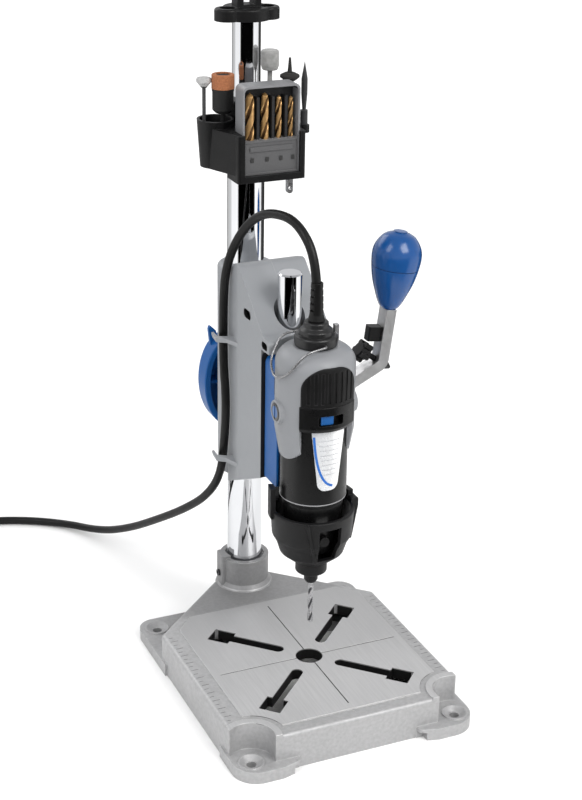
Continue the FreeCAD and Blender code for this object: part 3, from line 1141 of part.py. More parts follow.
# --- every node -----------------------------------------------------------------------------
def main():
    os.makedirs("parts", exist_ok=True)
    keep("base_casting", base_casting())
    keep("column_set_screw", column_set_screw())
    keep("lower_column", lower_column())
    keep("telescope_collar", telescope_collar())
    keep("telescope_screw", telescope_screw())
    keep("upper_mast", upper_mast())
    keep("hanger_plate", fuse(hanger_plate(), hanger_fork()))
    keep("hanger_pin", hanger_pin())
    keep("hanger_hook", hanger_hook())
    keep("accessory_holder", accessory_holder())
    keep("holder_screw", holder_screw())
    keep("drill_index_case", drill_index_case())
    keep("index_drills", index_drills())
    keep("polishing_point", polishing_point())
    keep("sanding_mandrel", sanding_mandrel())
    keep("sanding_band", sanding_band())
    keep("felt_bob", felt_bob())
    keep("cutoff_wheel", cutoff_wheel())
    keep("engraving_cutter", engraving_cutter())
    keep("collet_wrench", collet_wrench())
    head = head_body()
    keep("housing_left", housing_left(head))
    keep("housing_right", housing_right(head))
    keep("housing_screws", housing_screws())
    keep("quill_bush", quill_bush())
    keep("shaft_bushes", Part.makeCompound([shaft_bush(-HEAD_HALF + 1.1, -HEAD_HALF + 7.0),
                                            shaft_bush(HEAD_HALF - 6, HEAD_HALF)]))
    keep("return_spring", return_spring())
    keep("clamp_knob", clamp_knob())
    keep("clamp_screw", clamp_screw())
    keep("pinion_shaft", pinion())
    keep("lever_hub", lever_hub())
    keep("lever_arm", lever_arm())
    keep("lever_knob", lever_knob())
    keep("lever_stop_block", lever_stop_block())
    keep("star_knob", star_knob())
    keep("quill_rod", quill())
    keep("carriage", carriage())
    keep("tool_holder", tool_holder())
    keep("motor_housing", motor_housing())
    keep("rear_shell", rear_shell())
    keep("brush_caps", Part.makeCompound([brush_cap(0), brush_cap(180)]))
    keep("vent_cover", vent_cover())
    keep("switch_collar", switch_collar())
    keep("speed_slider", speed_slider())
    keep("label_plate", label_plate())
    keep("rear_cap", rear_cap())
    keep("strain_relief", strain_relief())
    keep("hanging_bail", hanging_bail())
    keep("shaft_lock_button", shaft_lock_button())
    keep("spindle", spindle())
    keep("collet_nut", collet_nut())
    keep("collet", collet())
    keep("drill_bit", drill_bit())
    keep("armature", fuse(armature(), cooling_fan()))
    keep("cord_loop", cord_tube(LOOP_ROUTE, "cord_loop"))
    keep("cord_lead", cord_tube(LEAD_ROUTE, "cord_lead"))
    keep("cord_coil", cord_coil())
    keep("plug_body", plug_body())
    keep("plug_blades", plug_blades())
    keep("coil_tie", coil_tie())


main()
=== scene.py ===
import math

import bmesh
import bpy
from mathutils import Matrix, Vector


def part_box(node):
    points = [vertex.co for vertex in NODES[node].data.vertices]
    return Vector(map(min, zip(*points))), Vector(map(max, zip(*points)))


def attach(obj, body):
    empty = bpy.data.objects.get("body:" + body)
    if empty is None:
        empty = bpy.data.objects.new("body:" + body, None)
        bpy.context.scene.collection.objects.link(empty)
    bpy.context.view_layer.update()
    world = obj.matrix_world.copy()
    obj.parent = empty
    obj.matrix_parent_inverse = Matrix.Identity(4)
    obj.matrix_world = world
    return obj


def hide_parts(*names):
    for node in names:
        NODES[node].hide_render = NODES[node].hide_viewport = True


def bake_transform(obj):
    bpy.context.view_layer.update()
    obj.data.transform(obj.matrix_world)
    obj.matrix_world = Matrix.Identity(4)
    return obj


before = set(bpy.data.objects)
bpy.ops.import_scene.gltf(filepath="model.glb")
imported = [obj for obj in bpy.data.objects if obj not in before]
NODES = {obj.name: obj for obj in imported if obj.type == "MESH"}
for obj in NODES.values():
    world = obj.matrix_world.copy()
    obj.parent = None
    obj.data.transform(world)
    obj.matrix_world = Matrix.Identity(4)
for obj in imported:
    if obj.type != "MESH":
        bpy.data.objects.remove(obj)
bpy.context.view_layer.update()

MM = 0.001
WORK_Y = -0.015                 # the drilling axis stands at X = 0, Y = WORK_Y
COLUMN_Y = 0.1035               # the column's axis
TOOL_R = 0.0222                 # the tool's barrel
CORD_R = 0.003
CAMERA_PLACE = (-0.4216, -0.9218, 0.6461)
CAMERA_AZIMUTH, CAMERA_ELEVATION, CAMERA_ROLL = -24.06, 23.1, 0.91      # degrees
CAMERA_LENS = 75.71
FLOOR_HALF = 6.0
CARD_START, CARD_FULL = 0.36, 0.50      # distances from the column where the black cards begin and are full
LEAST_SHADE = 0.14                      # share of black that glossy parts see all over the floor
GLOW_START, GLOW_FULL, GLOW = 0.7, 2.2, 0.30    # the far floor is lifted to white from here to there
# bearing in degrees round the column, from the front, and how pale the floor looks in glossy parts there
CARDS = [(-179, 0.10), (-172, 0.40), (-128, 0.55), (-112, 1.0), (-76, 1.0), (-66, 0.0), (30, 0.0), (42, 1.0),
         (82, 1.0), (94, 0.05), (150, 0.0)]


def behind(distance):
    """Y, in metres, of a point this many millimetres behind the drilling axis."""
    return WORK_Y + distance * MM


SLOTS_LOW = (-0.0560, behind(-56.0), 0.0040)       # box that holds the walls of the table's slots, painted dark as shade
SLOTS_HIGH = (0.0560, behind(56.0), 0.0272)
LINES_LOW = (-0.0655, behind(-65.5), 0.02745)      # box that holds the floors of its engraved lines, painted dark as shade
LINES_HIGH = (0.0655, behind(73.8), 0.02785)
HOUSING_HOLES = [                               # boxes round the left shell's screw wells and its boss's hole, whose insides get painted shade
    ((-0.0236, behind(50.6), 0.2591), (-0.0180, behind(63.4), 0.2659)),
    ((-0.0236, behind(22.5), 0.2477), (-0.0180, behind(32.5), 0.2533)),
    ((-0.0180, behind(111.2), 0.2612), (-0.0172, behind(116.8), 0.2668)),
]
TABLE_RIM_TOP = 0.0270
SCALE_LEFT, SCALE_RIGHT = -0.0815, 0.0787       # outer ends of the ruler marks on the table's rims
SCALE_FIRST, SCALE_STEP, SCALE_MARKS = behind(-51), 0.005, 23
INDEX_DRILL_Y = behind(80)
INDEX_DRILL_FOOT = 0.355
INDEX_DRILLS = [                                # X, radius and top of each drill in the index
    (-0.0134, 0.0030, 0.4040),
    (-0.0029, 0.0026, 0.4035),
    (0.0069, 0.0020, 0.4010),
    (0.0153, 0.0017, 0.4000),
]
INDEX_FRONT = behind(75)
LABEL_REACH = TOOL_R + 0.00047                  # the label's face, from the drilling axis


# --- camera, floor and light ----------------------------------------------------------------
def make_camera():
    azimuth, elevation, roll = map(math.radians, (CAMERA_AZIMUTH, CAMERA_ELEVATION, CAMERA_ROLL))
    forward = Vector((-math.sin(azimuth) * math.cos(elevation),
                      math.cos(azimuth) * math.cos(elevation), -math.sin(elevation)))
    flat_right = Vector((math.cos(azimuth), math.sin(azimuth), 0))
    flat_up = flat_right.cross(forward)
    right = flat_right * math.cos(roll) + flat_up * math.sin(roll)
    up = flat_up * math.cos(roll) - flat_right * math.sin(roll)
    camera = bpy.data.objects.new("camera", bpy.data.cameras.new("camera"))
    bpy.context.scene.collection.objects.link(camera)
    turn = Matrix((right, up, -forward)).transposed().to_4x4()
    camera.matrix_world = Matrix.Translation(CAMERA_PLACE) @ turn
    camera.data.sensor_width = 36.0
    camera.data.lens = CAMERA_LENS
    camera.data.clip_start = 0.05
    bpy.context.scene.camera = camera


def add_area(name, place, aim, size, power, tint=(1, 1, 1)):
    data = bpy.data.lights.new(name, "AREA")
    data.shape = "RECTANGLE"
    data.size, data.size_y = size
    data.energy = power
    data.color = tint
    light = bpy.data.objects.new(name, data)
    bpy.context.scene.collection.objects.link(light)
    light.location = place
    light.rotation_euler = (Vector(aim) - Vector(place)).to_track_quat("-Z", "Y").to_euler()


def make_studio():
    """A white room: even light on matt faces, a paler-to-grey sweep in the glossy ones."""
    world = bpy.data.worlds.new("studio")
    bpy.context.scene.world = world
    world.use_nodes = True
    tree = world.node_tree
    tree.nodes.clear()
    coords = tree.nodes.new("ShaderNodeTexCoord")
    split = tree.nodes.new("ShaderNodeSeparateXYZ")
    tree.links.new(coords.outputs["Generated"], split.inputs[0])
    sweep = tree.nodes.new("ShaderNodeValToRGB")
    sweep.color_ramp.elements[0].position = 0.05
    sweep.color_ramp.elements[0].color = (0.85, 0.85, 0.86, 1)
    sweep.color_ramp.elements[1].position = 0.85
    sweep.color_ramp.elements[1].color = (0.42, 0.42, 0.43, 1)
    tree.links.new(split.outputs["Z"], sweep.inputs[0])
    glossy = tree.nodes.new("ShaderNodeBackground")
    tree.links.new(sweep.outputs["Color"], glossy.inputs["Color"])
    even = tree.nodes.new("ShaderNodeBackground")
    even.inputs["Color"].default_value = (1, 1, 1, 1)
    even.inputs["Strength"].default_value = 0.85
    path = tree.nodes.new("ShaderNodeLightPath")
    mix = tree.nodes.new("ShaderNodeMixShader")
    tree.links.new(path.outputs["Is Glossy Ray"], mix.inputs[0])
    tree.links.new(even.outputs[0], mix.inputs[1])
    tree.links.new(glossy.outputs[0], mix.inputs[2])
    white = tree.nodes.new("ShaderNodeBackground")
    white.inputs["Color"].default_value = (1, 1, 1, 1)
    seen = tree.nodes.new("ShaderNodeMixShader")
    tree.links.new(path.outputs["Is Camera Ray"], seen.inputs[0])
    tree.links.new(mix.outputs[0], seen.inputs[1])
    tree.links.new(white.outputs[0], seen.inputs[2])
    out = tree.nodes.new("ShaderNodeOutputWorld")
    tree.links.new(seen.outputs[0], out.inputs[0])
    add_area("key_light", (0.55, -1.35, 1.55), (0, 0, 0.15), (1.0, 1.0), 25.0, (1.0, 0.99, 0.97))
    add_area("left_light", (-1.3, -0.3, 1.5), (0, 0, 0.2), (0.6, 1.0), 8.0)
    add_area("rear_light", (-0.5, 1.5, 1.2), (0, 0, 0.25), (1.4, 0.8), 7.0)


def make_floor():
    """Pale paper; glossy parts see black cards lying on it, which streak the round chrome."""
    mesh = bpy.data.meshes.new("studio_floor")
    mesh.from_pydata(bar(-FLOOR_HALF, FLOOR_HALF, -FLOOR_HALF, FLOOR_HALF, 0), [], [(0, 1, 2, 3)])
    floor = bpy.data.objects.new("studio_floor", mesh)
    bpy.context.scene.collection.objects.link(floor)
    paper = Recipe("studio_paper", (0.95, 0.95, 0.95), 0.9)
    turn = paper.add("ShaderNodeMapping", vector_type="POINT")
    turn.inputs["Location"].default_value = (0, -COLUMN_Y, 0)
    paper.join(paper.coords.outputs["Object"], turn.inputs["Vector"])
    split = paper.add("ShaderNodeSeparateXYZ")
    paper.join(turn.outputs[0], split.inputs[0])
    toward = paper.math("MULTIPLY", split.outputs["Y"], -1.0)
    bearing = paper.math("ARCTAN2", split.outputs["X"], toward)
    bearing = paper.ramp(bearing, -math.pi, math.pi)
    cards = paper.add("ShaderNodeValToRGB")
    cards.color_ramp.interpolation = "EASE"
    for place, level in CARDS:
        slot = cards.color_ramp.elements.new(place / 360.0 + 0.5)
        slot.color = (level, level, level, 1)
    for extreme in (0, -1):
        cards.color_ramp.elements.remove(cards.color_ramp.elements[extreme])
    paper.join(bearing, cards.inputs[0])
    length = paper.add("ShaderNodeVectorMath", operation="LENGTH")
    paper.join(turn.outputs[0], length.inputs[0])
    far = paper.ramp(length.outputs["Value"], CARD_START, CARD_FULL)
    shade = paper.math("MULTIPLY", paper.math("SUBTRACT", 1.0, cards.outputs["Color"]), far)
    shade = paper.math("MAXIMUM", shade, LEAST_SHADE)
    glow = paper.ramp(length.outputs["Value"], GLOW_START, GLOW_FULL, 0.0, GLOW)
    paper.join(glow, paper.shader.inputs["Emission Strength"])
    path = paper.add("ShaderNodeLightPath")
    shade = paper.math("MULTIPLY", shade, path.outputs["Is Glossy Ray"])
    black = paper.add("ShaderNodeEmission")
    black.inputs["Color"].default_value = (0, 0, 0, 1)
    mix = paper.add("ShaderNodeMixShader")
    paper.join(shade, mix.inputs[0])
    material = paper.done(Specular_IOR_Level=0.1)
    paper.join(paper.shader.outputs[0], mix.inputs[1])
    paper.join(black.outputs[0], mix.inputs[2])
    out = next(node for node in paper.tree.nodes if node.type == "OUTPUT_MATERIAL")
    paper.join(mix.outputs[0], out.inputs["Surface"])
    mesh.materials.append(material)


# --- materials ------------------------------------------------------------------------------
class Recipe:
    """A node material made step by step around one Principled shader."""

    def __init__(self, name, colour, roughness, metallic=0.0):
        self.material = bpy.data.materials.new(name)
        self.material.use_nodes = True
        self.tree = self.material.node_tree
        self.shader = self.tree.nodes["Principled BSDF"]
        self.shader.inputs["Metallic"].default_value = metallic
        self.coords = self.add("ShaderNodeTexCoord")
        self.colour = self.add("ShaderNodeRGB").outputs[0]
        self.colour.default_value = (*colour, 1)
        self.rough = self.add("ShaderNodeValue").outputs[0]
        self.rough.default_value = roughness
        self.normal = None

    def add(self, kind, **settings):
        node = self.tree.nodes.new(kind)
        for key, value in settings.items():
            setattr(node, key, value)
        return node

    def join(self, source, target):
        self.tree.links.new(source, target)

    def noise(self, scale, detail=3.0, stretch=(1, 1, 1), distortion=0.0):
        mapping = self.add("ShaderNodeMapping")
        mapping.inputs["Scale"].default_value = stretch
        self.join(self.coords.outputs["Object"], mapping.inputs["Vector"])
        cloud = self.add("ShaderNodeTexNoise")
        cloud.inputs["Scale"].default_value = scale
        cloud.inputs["Detail"].default_value = detail
        cloud.inputs["Distortion"].default_value = distortion
        self.join(mapping.outputs[0], cloud.inputs["Vector"])
        return cloud.outputs["Fac"]

    def ramp(self, source, low, high, low_value=0.0, high_value=1.0):
        step = self.add("ShaderNodeMapRange")
        step.inputs["From Min"].default_value = low
        step.inputs["From Max"].default_value = high
        step.inputs["To Min"].default_value = low_value
        step.inputs["To Max"].default_value = high_value
        self.join(source, step.inputs["Value"])
        return step.outputs[0]

    def math(self, operation, first, second):
        node = self.add("ShaderNodeMath", operation=operation)
        for slot, value in zip(node.inputs, (first, second)):
            if isinstance(value, (int, float)):
                slot.default_value = value
            else:
                self.join(value, slot)
        return node.outputs[0]

    def tint(self, factor, colour, blend="MIX"):
        """Lay another colour over the present one where the factor says so."""
        mix = self.add("ShaderNodeMix", data_type="RGBA", blend_type=blend)
        if isinstance(factor, (int, float)):
            mix.inputs[0].default_value = factor
        else:
            self.join(factor, mix.inputs[0])
        self.join(self.colour, mix.inputs[6])
        mix.inputs[7].default_value = (*colour, 1)
        self.colour = mix.outputs[2]

    def mottle(self, scale, amount, detail=4.0, stretch=(1, 1, 1)):
        """Uneven lightness, as a share of the colour."""
        cloud = self.ramp(self.noise(scale, detail, stretch), 0.3, 0.7, 1 - amount, 1 + amount)
        mix = self.add("ShaderNodeVectorMath", operation="SCALE")
        self.join(self.colour, mix.inputs[0])
        self.join(cloud, mix.inputs["Scale"])
        self.colour = mix.outputs[0]

    def vary_roughness(self, scale, amount, stretch=(1, 1, 1)):
        cloud = self.ramp(self.noise(scale, 4.0, stretch), 0.3, 0.7, -amount, amount)
        self.rough = self.math("ADD", self.rough, cloud)

    def bump(self, height, distance, strength=1.0):
        node = self.add("ShaderNodeBump")
        node.inputs["Distance"].default_value = distance
        node.inputs["Strength"].default_value = strength
        self.join(height, node.inputs["Height"])
        if self.normal is not None:
            self.join(self.normal, node.inputs["Normal"])
        self.normal = node.outputs[0]

    def soft_edges(self, radius):
        node = self.add("ShaderNodeBevel", samples=4)
        node.inputs["Radius"].default_value = radius
        self.normal = node.outputs[0]

    def worn_edges(self, colour, amount, rough=None):
        """Lighter, rubbed edges: where a rounded normal leaves the true one."""
        place = self.add("ShaderNodeNewGeometry")
        rounded = self.add("ShaderNodeBevel", samples=4)
        rounded.inputs["Radius"].default_value = 0.0009
        agree = self.add("ShaderNodeVectorMath", operation="DOT_PRODUCT")
        self.join(place.outputs["True Normal"], agree.inputs[0])
        self.join(rounded.outputs[0], agree.inputs[1])
        edge = self.ramp(agree.outputs["Value"], 0.985, 0.90, 0.0, amount)
        patchy = self.math("MULTIPLY", edge, self.ramp(self.noise(90, 5), 0.35, 0.6))
        self.tint(patchy, colour)
        if rough is not None:
            self.rough = self.math("ADD", self.rough, self.math("MULTIPLY", patchy, rough))

    def done(self, **sockets):
        self.join(self.colour, self.shader.inputs["Base Color"])
        clamp = self.ramp(self.rough, 0.0, 1.0)
        self.join(clamp, self.shader.inputs["Roughness"])
        if self.normal is not None:
            self.join(self.normal, self.shader.inputs["Normal"])
        for key, value in sockets.items():
            self.shader.inputs[key.replace("_", " ")].default_value = value
        return self.material


def black_plastic(name, roughness=0.42, lightness=0.004, grain=2600):
    m = Recipe(name, (lightness, lightness, lightness * 1.06), roughness)
    m.soft_edges(0.00035)
    m.mottle(60, 0.12)
    m.vary_roughness(110, 0.05)
    m.bump(m.noise(grain, 2.0), 0.00006, 0.5)
    m.worn_edges((0.05, 0.05, 0.053), 0.35)
    return m.done(Specular_IOR_Level=0.26)


def moulded(name, colour, roughness, grain=1800, gloss_coat=0.0, wear=(0.7, 0.7, 0.72), wear_amount=0.2):
    m = Recipe(name, colour, roughness)
    m.soft_edges(0.0005)
    m.mottle(35, 0.03)
    m.vary_roughness(120, 0.03)
    m.bump(m.noise(grain, 2.0), 0.00005, 0.45)
    m.worn_edges(wear, wear_amount)
    return m.done(Coat_Weight=gloss_coat, Coat_Roughness=0.12, Specular_IOR_Level=0.35)


def chrome(name, roughness=0.07):
    m = Recipe(name, (0.80, 0.81, 0.83), roughness, 1.0)
    m.mottle(18, 0.03)
    m.vary_roughness(40, 0.03, (1, 1, 0.15))
    m.bump(m.noise(500, 2.0, (1, 1, 0.1)), 0.00001, 0.25)
    return m.done()


def steel(name, colour=(0.50, 0.50, 0.51), roughness=0.3, stretch=(1, 1, 12)):
    m = Recipe(name, colour, roughness, 1.0)
    m.soft_edges(0.0003)
    m.mottle(120, 0.10, stretch=stretch)
    m.vary_roughness(300, 0.10, stretch)
    m.bump(m.noise(1500, 2.0, stretch), 0.00002, 0.35)
    return m.done()


def cast_aluminium(name, lightness=0.42):
    """Sand-cast grey with a bright, brushed table; painted shade darkens the slots, the engraved lines, the
    rear round the column and the table's far end.
    """
    m = Recipe(name, (lightness, lightness, lightness * 1.012), 0.50, 0.45)
    m.soft_edges(0.0009)
    split = m.add("ShaderNodeSeparateXYZ")
    m.join(m.coords.outputs["Object"], split.inputs[0])
    table = m.ramp(split.outputs["Z"], 0.0276, 0.0279)
    low_again = m.ramp(split.outputs["Z"], 0.0283, 0.0284, 1.0, 0.0)
    table = m.math("MULTIPLY", table, low_again)
    m.mottle(22, 0.03)
    m.mottle(420, 0.09, 5.0)
    # painted shade: the cast behind the table darkened, most round the column's foot
    rear_shade = m.ramp(split.outputs["Y"], behind(78), behind(84), 0.0, 0.55)
    from_middle = m.math("ABSOLUTE", split.outputs["X"], 0.0)
    rear_shade = m.math("MULTIPLY", rear_shade, m.ramp(from_middle, 0.050, 0.078, 1.0, 0.25))
    m.tint(rear_shade, (0.17, 0.17, 0.172))
    m.tint(table, (0.54, 0.54, 0.545))
    # painted shade: the table darkens towards its far end
    table_falloff_shade = m.ramp(split.outputs["Y"], behind(-30), behind(75), 0.0, 0.6)
    m.tint(m.math("MULTIPLY", table, table_falloff_shade), (0.34, 0.34, 0.345))
    strokes = m.noise(900, 3.0, (1.0, 0.03, 1.0))
    m.tint(m.math("MULTIPLY", table, m.ramp(strokes, 0.35, 0.75, 0.0, 0.40)), (0.38, 0.38, 0.385))
    smudges = m.ramp(m.noise(14, 5, distortion=0.6), 0.45, 0.75, 0.0, 0.12)
    m.tint(m.math("MULTIPLY", table, smudges), (0.42, 0.42, 0.42))
    m.rough = m.math("SUBTRACT", m.rough, m.math("MULTIPLY", table, 0.10))
    m.vary_roughness(55, 0.06)
    rough_skin = m.math("MULTIPLY", m.noise(1300, 4.0), m.math("SUBTRACT", 1.0, table))
    m.bump(rough_skin, 0.00018, 0.5)
    m.bump(m.math("MULTIPLY", strokes, table), 0.00004, 0.4)
    m.worn_edges((0.72, 0.72, 0.72), 0.5, -0.10)
    # painted shade: the slots' walls near black
    m.tint(inside(m, SLOTS_LOW, SLOTS_HIGH), (0.012, 0.012, 0.012))
    # painted shade: the engraved lines' floors dark
    m.tint(inside(m, LINES_LOW, LINES_HIGH), (0.10, 0.10, 0.10))
    return m.done()


def inside(m, low, high):
    """One inside a box of the object's own coordinates, nought outside it; None leaves a side open."""
    split = m.add("ShaderNodeSeparateXYZ")
    m.join(m.coords.outputs["Object"], split.inputs[0])
    share = None
    for axis in range(3):
        for limit, sign in ((low[axis], 1), (high[axis], -1)):
            if limit is None:
                continue
            step = m.ramp(split.outputs[axis], limit - sign * 0.0001, limit + sign * 0.0001)
            share = step if share is None else m.math("MULTIPLY", share, step)
    return share


def shell_grey(name):
    """Grey mouldings whose front faces, in the recess against the carriage, are painted near black as shade.
    """
    m = Recipe(name, (0.245, 0.255, 0.27), 0.42)
    m.soft_edges(0.0005)
    m.mottle(35, 0.015)
    m.vary_roughness(160, 0.02)
    m.bump(m.noise(1500, 2.0), 0.00005, 0.45)
    m.worn_edges((0.7, 0.7, 0.72), 0.2)
    # painted shade: the front faces in the recess against the carriage
    m.tint(inside(m, (None, None, None), (None, behind(32.4), 0.2466)), (0.012, 0.012, 0.013))
    # painted shade: the insides of the screw wells and the boss's hole
    for low, high in HOUSING_HOLES:
        m.tint(inside(m, low, high), (0.008, 0.008, 0.008))
    return m.done()


def case_plastic(name):
    """Light grey frame with a darker lower panel, round a bay painted near black as shade."""
    m = Recipe(name, (0.17, 0.172, 0.18), 0.42)
    m.soft_edges(0.0004)
    m.mottle(40, 0.05)
    m.vary_roughness(70, 0.06)
    m.bump(m.noise(2000, 2.0), 0.00005, 0.45)
    m.tint(inside(m, (-0.0188, None, None), (0.0188, behind(75.6), 0.3736)), (0.085, 0.085, 0.088))
    # painted shade: the inside of the drill bay
    m.tint(inside(m, (-0.0186, behind(75.8), 0.3736), (0.0186, behind(87.4), 0.4078)), (0.016, 0.016, 0.017))
    return m.done()


def barrel_black(name):
    """Black barrel with a painted highlight, a thin pale ring, round its lower edge."""
    m = Recipe(name, (0.004, 0.004, 0.0042), 0.30)
    m.soft_edges(0.0003)
    m.mottle(60, 0.12)
    m.vary_roughness(110, 0.05)
    m.bump(m.noise(3000, 2.0), 0.00005, 0.45)
    # painted highlight: the pale ring stands for light on the lower edge's chamfer
    m.tint(inside(m, (None, None, 0.15385), (None, None, 0.1547)), (0.30, 0.30, 0.31))
    return m.done(Specular_IOR_Level=0.32)


def pointed_stone(name):
    """Pale stone on a dark shank."""
    low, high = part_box("polishing_point")
    m = Recipe(name, (0.36, 0.36, 0.36), 0.8)
    m.mottle(600, 0.15)
    m.tint(inside(m, (None, None, None), (None, None, high[2] - 0.0062)), (0.04, 0.04, 0.042))
    m.bump(m.noise(2600, 3.0), 0.00006, 0.6)
    return m.done()


def brush_cap(name):
    """Blue slotted screw cap in a black ring."""
    m = Recipe(name, (0.006, 0.085, 0.27), 0.3)
    m.mottle(60, 0.06)
    centre = m.add("ShaderNodeMapping")
    centre.inputs["Location"].default_value = (0, -WORK_Y, -0.216)
    centre.inputs["Scale"].default_value = (0, 1, 1)
    m.join(m.coords.outputs["Object"], centre.inputs["Vector"])
    reach = m.add("ShaderNodeVectorMath", operation="LENGTH")
    m.join(centre.outputs[0], reach.inputs[0])
    m.tint(m.ramp(reach.outputs["Value"], 0.0038, 0.0041), (0.012, 0.012, 0.013))
    m.bump(m.noise(1800, 2.0), 0.00004, 0.4)
    return m.done(Coat_Weight=0.3)


def capped_black(name):
    """Black end cap with a bright spring clip on its right."""
    m = Recipe(name, (0.009, 0.009, 0.0095), 0.36)
    m.soft_edges(0.0003)
    m.mottle(60, 0.12)
    m.vary_roughness(110, 0.05)
    m.bump(m.noise(3000, 2.0), 0.00005, 0.45)
    clip = inside(m, (0.01262, None, 0.2596), (None, None, None))
    m.tint(clip, (0.62, 0.62, 0.63))
    m.join(clip, m.shader.inputs["Metallic"])
    return m.done()


def rubber(name, lightness=0.003, roughness=0.42):
    m = Recipe(name, (lightness, lightness, lightness), roughness)
    m.mottle(80, 0.15)
    m.vary_roughness(150, 0.06)
    m.bump(m.noise(2200, 3.0), 0.00005, 0.5)
    return m.done(Specular_IOR_Level=0.3)


def gold_coated(name, colour=(0.62, 0.37, 0.15)):
    m = Recipe(name, colour, 0.36, 0.75)
    m.mottle(90, 0.10, 3.0)
    m.vary_roughness(300, 0.06)
    return m.done()


def abrasive(name, colour):
    m = Recipe(name, colour, 0.9)
    m.mottle(1400, 0.25, 5.0)
    grit = m.add("ShaderNodeTexVoronoi")
    grit.inputs["Scale"].default_value = 1500
    m.join(m.coords.outputs["Object"], grit.inputs["Vector"])
    m.bump(grit.outputs["Distance"], 0.00025, 0.9)
    return m.done()


def felt(name, colour):
    m = Recipe(name, colour, 0.95)
    m.mottle(300, 0.18, 6.0)
    m.bump(m.noise(1800, 6.0, (1, 1, 1), 1.5), 0.0003, 0.8)
    return m.done(Sheen_Weight=0.4, Sheen_Roughness=0.5)


def film(name):
    """Silvery label film, a little brighter towards one side."""
    m = Recipe(name, (0.72, 0.74, 0.77), 0.28, 0.35)
    split = m.add("ShaderNodeSeparateXYZ")
    m.join(m.coords.outputs["Object"], split.inputs[0])
    m.tint(m.ramp(split.outputs["X"], -0.010, 0.008, 0.0, 0.75), (0.93, 0.93, 0.93))
    m.mottle(45, 0.05)
    m.vary_roughness(200, 0.04)
    return m.done(Coat_Weight=0.3)


def ink(name, colour):
    m = Recipe(name, colour, 0.4)
    m.mottle(500, 0.12)
    return m.done()


# --- mesh helpers ---------------------------------------------------------------------------
def new_piece(name, mesh, material, smooth_angle=35.0):
    piece = bpy.data.objects.new(name, mesh)
    bpy.context.scene.collection.objects.link(piece)
    mesh.materials.append(material)
    for face in mesh.polygons:
        face.use_smooth = True
    mesh.set_sharp_from_angle(angle=math.radians(smooth_angle))
    return piece


def mesh_from(name, vertices, faces):
    mesh = bpy.data.meshes.new(name)
    mesh.from_pydata([tuple(v) for v in vertices], [], faces)
    mesh.validate()
    made = bmesh.new()
    made.from_mesh(mesh)
    bmesh.ops.recalc_face_normals(made, faces=made.faces)
    made.to_mesh(mesh)
    made.free()
    return mesh


def loft(name, rings, material, smooth_angle=35.0):
    """Skin over rings of equal count, closed at both ends by a fan."""
    count = len(rings[0])
    vertices = [v for ring in rings for v in ring]
    faces = []
    for row in range(len(rings) - 1):
        for k in range(count):
            a = row * count + k
            b = row * count + (k + 1) % count
            faces.append((a, b, b + count, a + count))
    for row in (0, len(rings) - 1):
        centre = sum((Vector(v) for v in rings[row]), Vector()) / count
        vertices.append(centre)
        tip = len(vertices) - 1
        for k in range(count):
            faces.append((row * count + k, row * count + (k + 1) % count, tip))
    return new_piece(name, mesh_from(name, vertices, faces), material, smooth_angle)


def twist_drill(name, radius, shank_radius, tip_z, flute_top, shank_top, x, y, materials, hand=1):
    """Drill with two helical flutes, a plain shank and a pointed tip; the flutes take the second material,
    darker as painted shade.
    """
    around = 32
    pitch = radius * 12.0
    rings = []
    steps = 90
    for step in range(steps + 1):
        z = tip_z + (flute_top - tip_z) * step / steps
        climb = z - tip_z
        turn = hand * 2 * math.pi * climb / pitch
        point = min(1.0, climb / (radius * 0.6))
        fade = min(1.0, (flute_top - z) / (radius * 2.5))
        ring = []
        for k in range(around):
            angle = 2 * math.pi * k / around
            flute = max(0.0, math.cos(2 * angle)) ** 0.8 * 0.52 * fade
            land = 1.0 - flute
            if 0.0 < math.cos(2 * angle + 1.15) and flute < 0.05:
                land -= 0.045 * fade
            reach = radius * land * max(0.08, point)
            ring.append((x + reach * math.cos(angle + turn), y + reach * math.sin(angle + turn), z))
        rings.append(ring)
    for z in (flute_top + radius * 0.1, shank_top):
        rings.append([(x + shank_radius * math.cos(2 * math.pi * k / around),
                       y + shank_radius * math.sin(2 * math.pi * k / around), z) for k in range(around)])
    drill = loft(name, rings, materials[0], 40.0)
    drill.data.materials.append(materials[1])
    for face in drill.data.polygons:
        reach = math.hypot(face.center.x - x, face.center.y - y)
        # painted shade: faces deep in the flutes take the darker material
        if tip_z + radius < face.center.z < flute_top and reach < radius * 0.80:
            face.material_index = 1
    return drill


def tube_along(name, path, radius, material, around=20):
    """Round tube round a list of points, without twist."""
    rings = []
    previous = side = None
    last = len(path) - 1
    for index, point in enumerate(path):
        heading = (path[min(index + 1, last)] - path[max(index - 1, 0)]).normalized()
        if side is None:
            side = heading.orthogonal().normalized()
        else:
            side = previous.rotation_difference(heading) @ side
            side = (side - heading * side.dot(heading)).normalized()
        across = heading.cross(side)
        rings.append([point + (side * math.cos(2 * math.pi * k / around)
                               + across * math.sin(2 * math.pi * k / around)) * radius
                      for k in range(around)])
        previous = heading
    return loft(name, rings, material, 60.0)


def smooth_line(name, points, resolution=10):
    """Points along the NURBS curve of a route's control points."""
    data = bpy.data.curves.new(name, "CURVE")
    data.dimensions = "3D"
    spline = data.splines.new("NURBS")
    spline.points.add(len(points) - 1)
    for slot, place in zip(spline.points, points):
        slot.co = (*place, 1)
    spline.order_u = 3
    spline.use_endpoint_u = True
    spline.resolution_u = resolution
    guide = bpy.data.objects.new(name, data)
    bpy.context.scene.collection.objects.link(guide)
    bpy.context.view_layer.update()
    evaluated = guide.evaluated_get(bpy.context.evaluated_depsgraph_get())
    mesh = bpy.data.meshes.new_from_object(evaluated)
    order = [Vector(v.co) for v in mesh.vertices]
    bpy.data.objects.remove(guide)
    return order


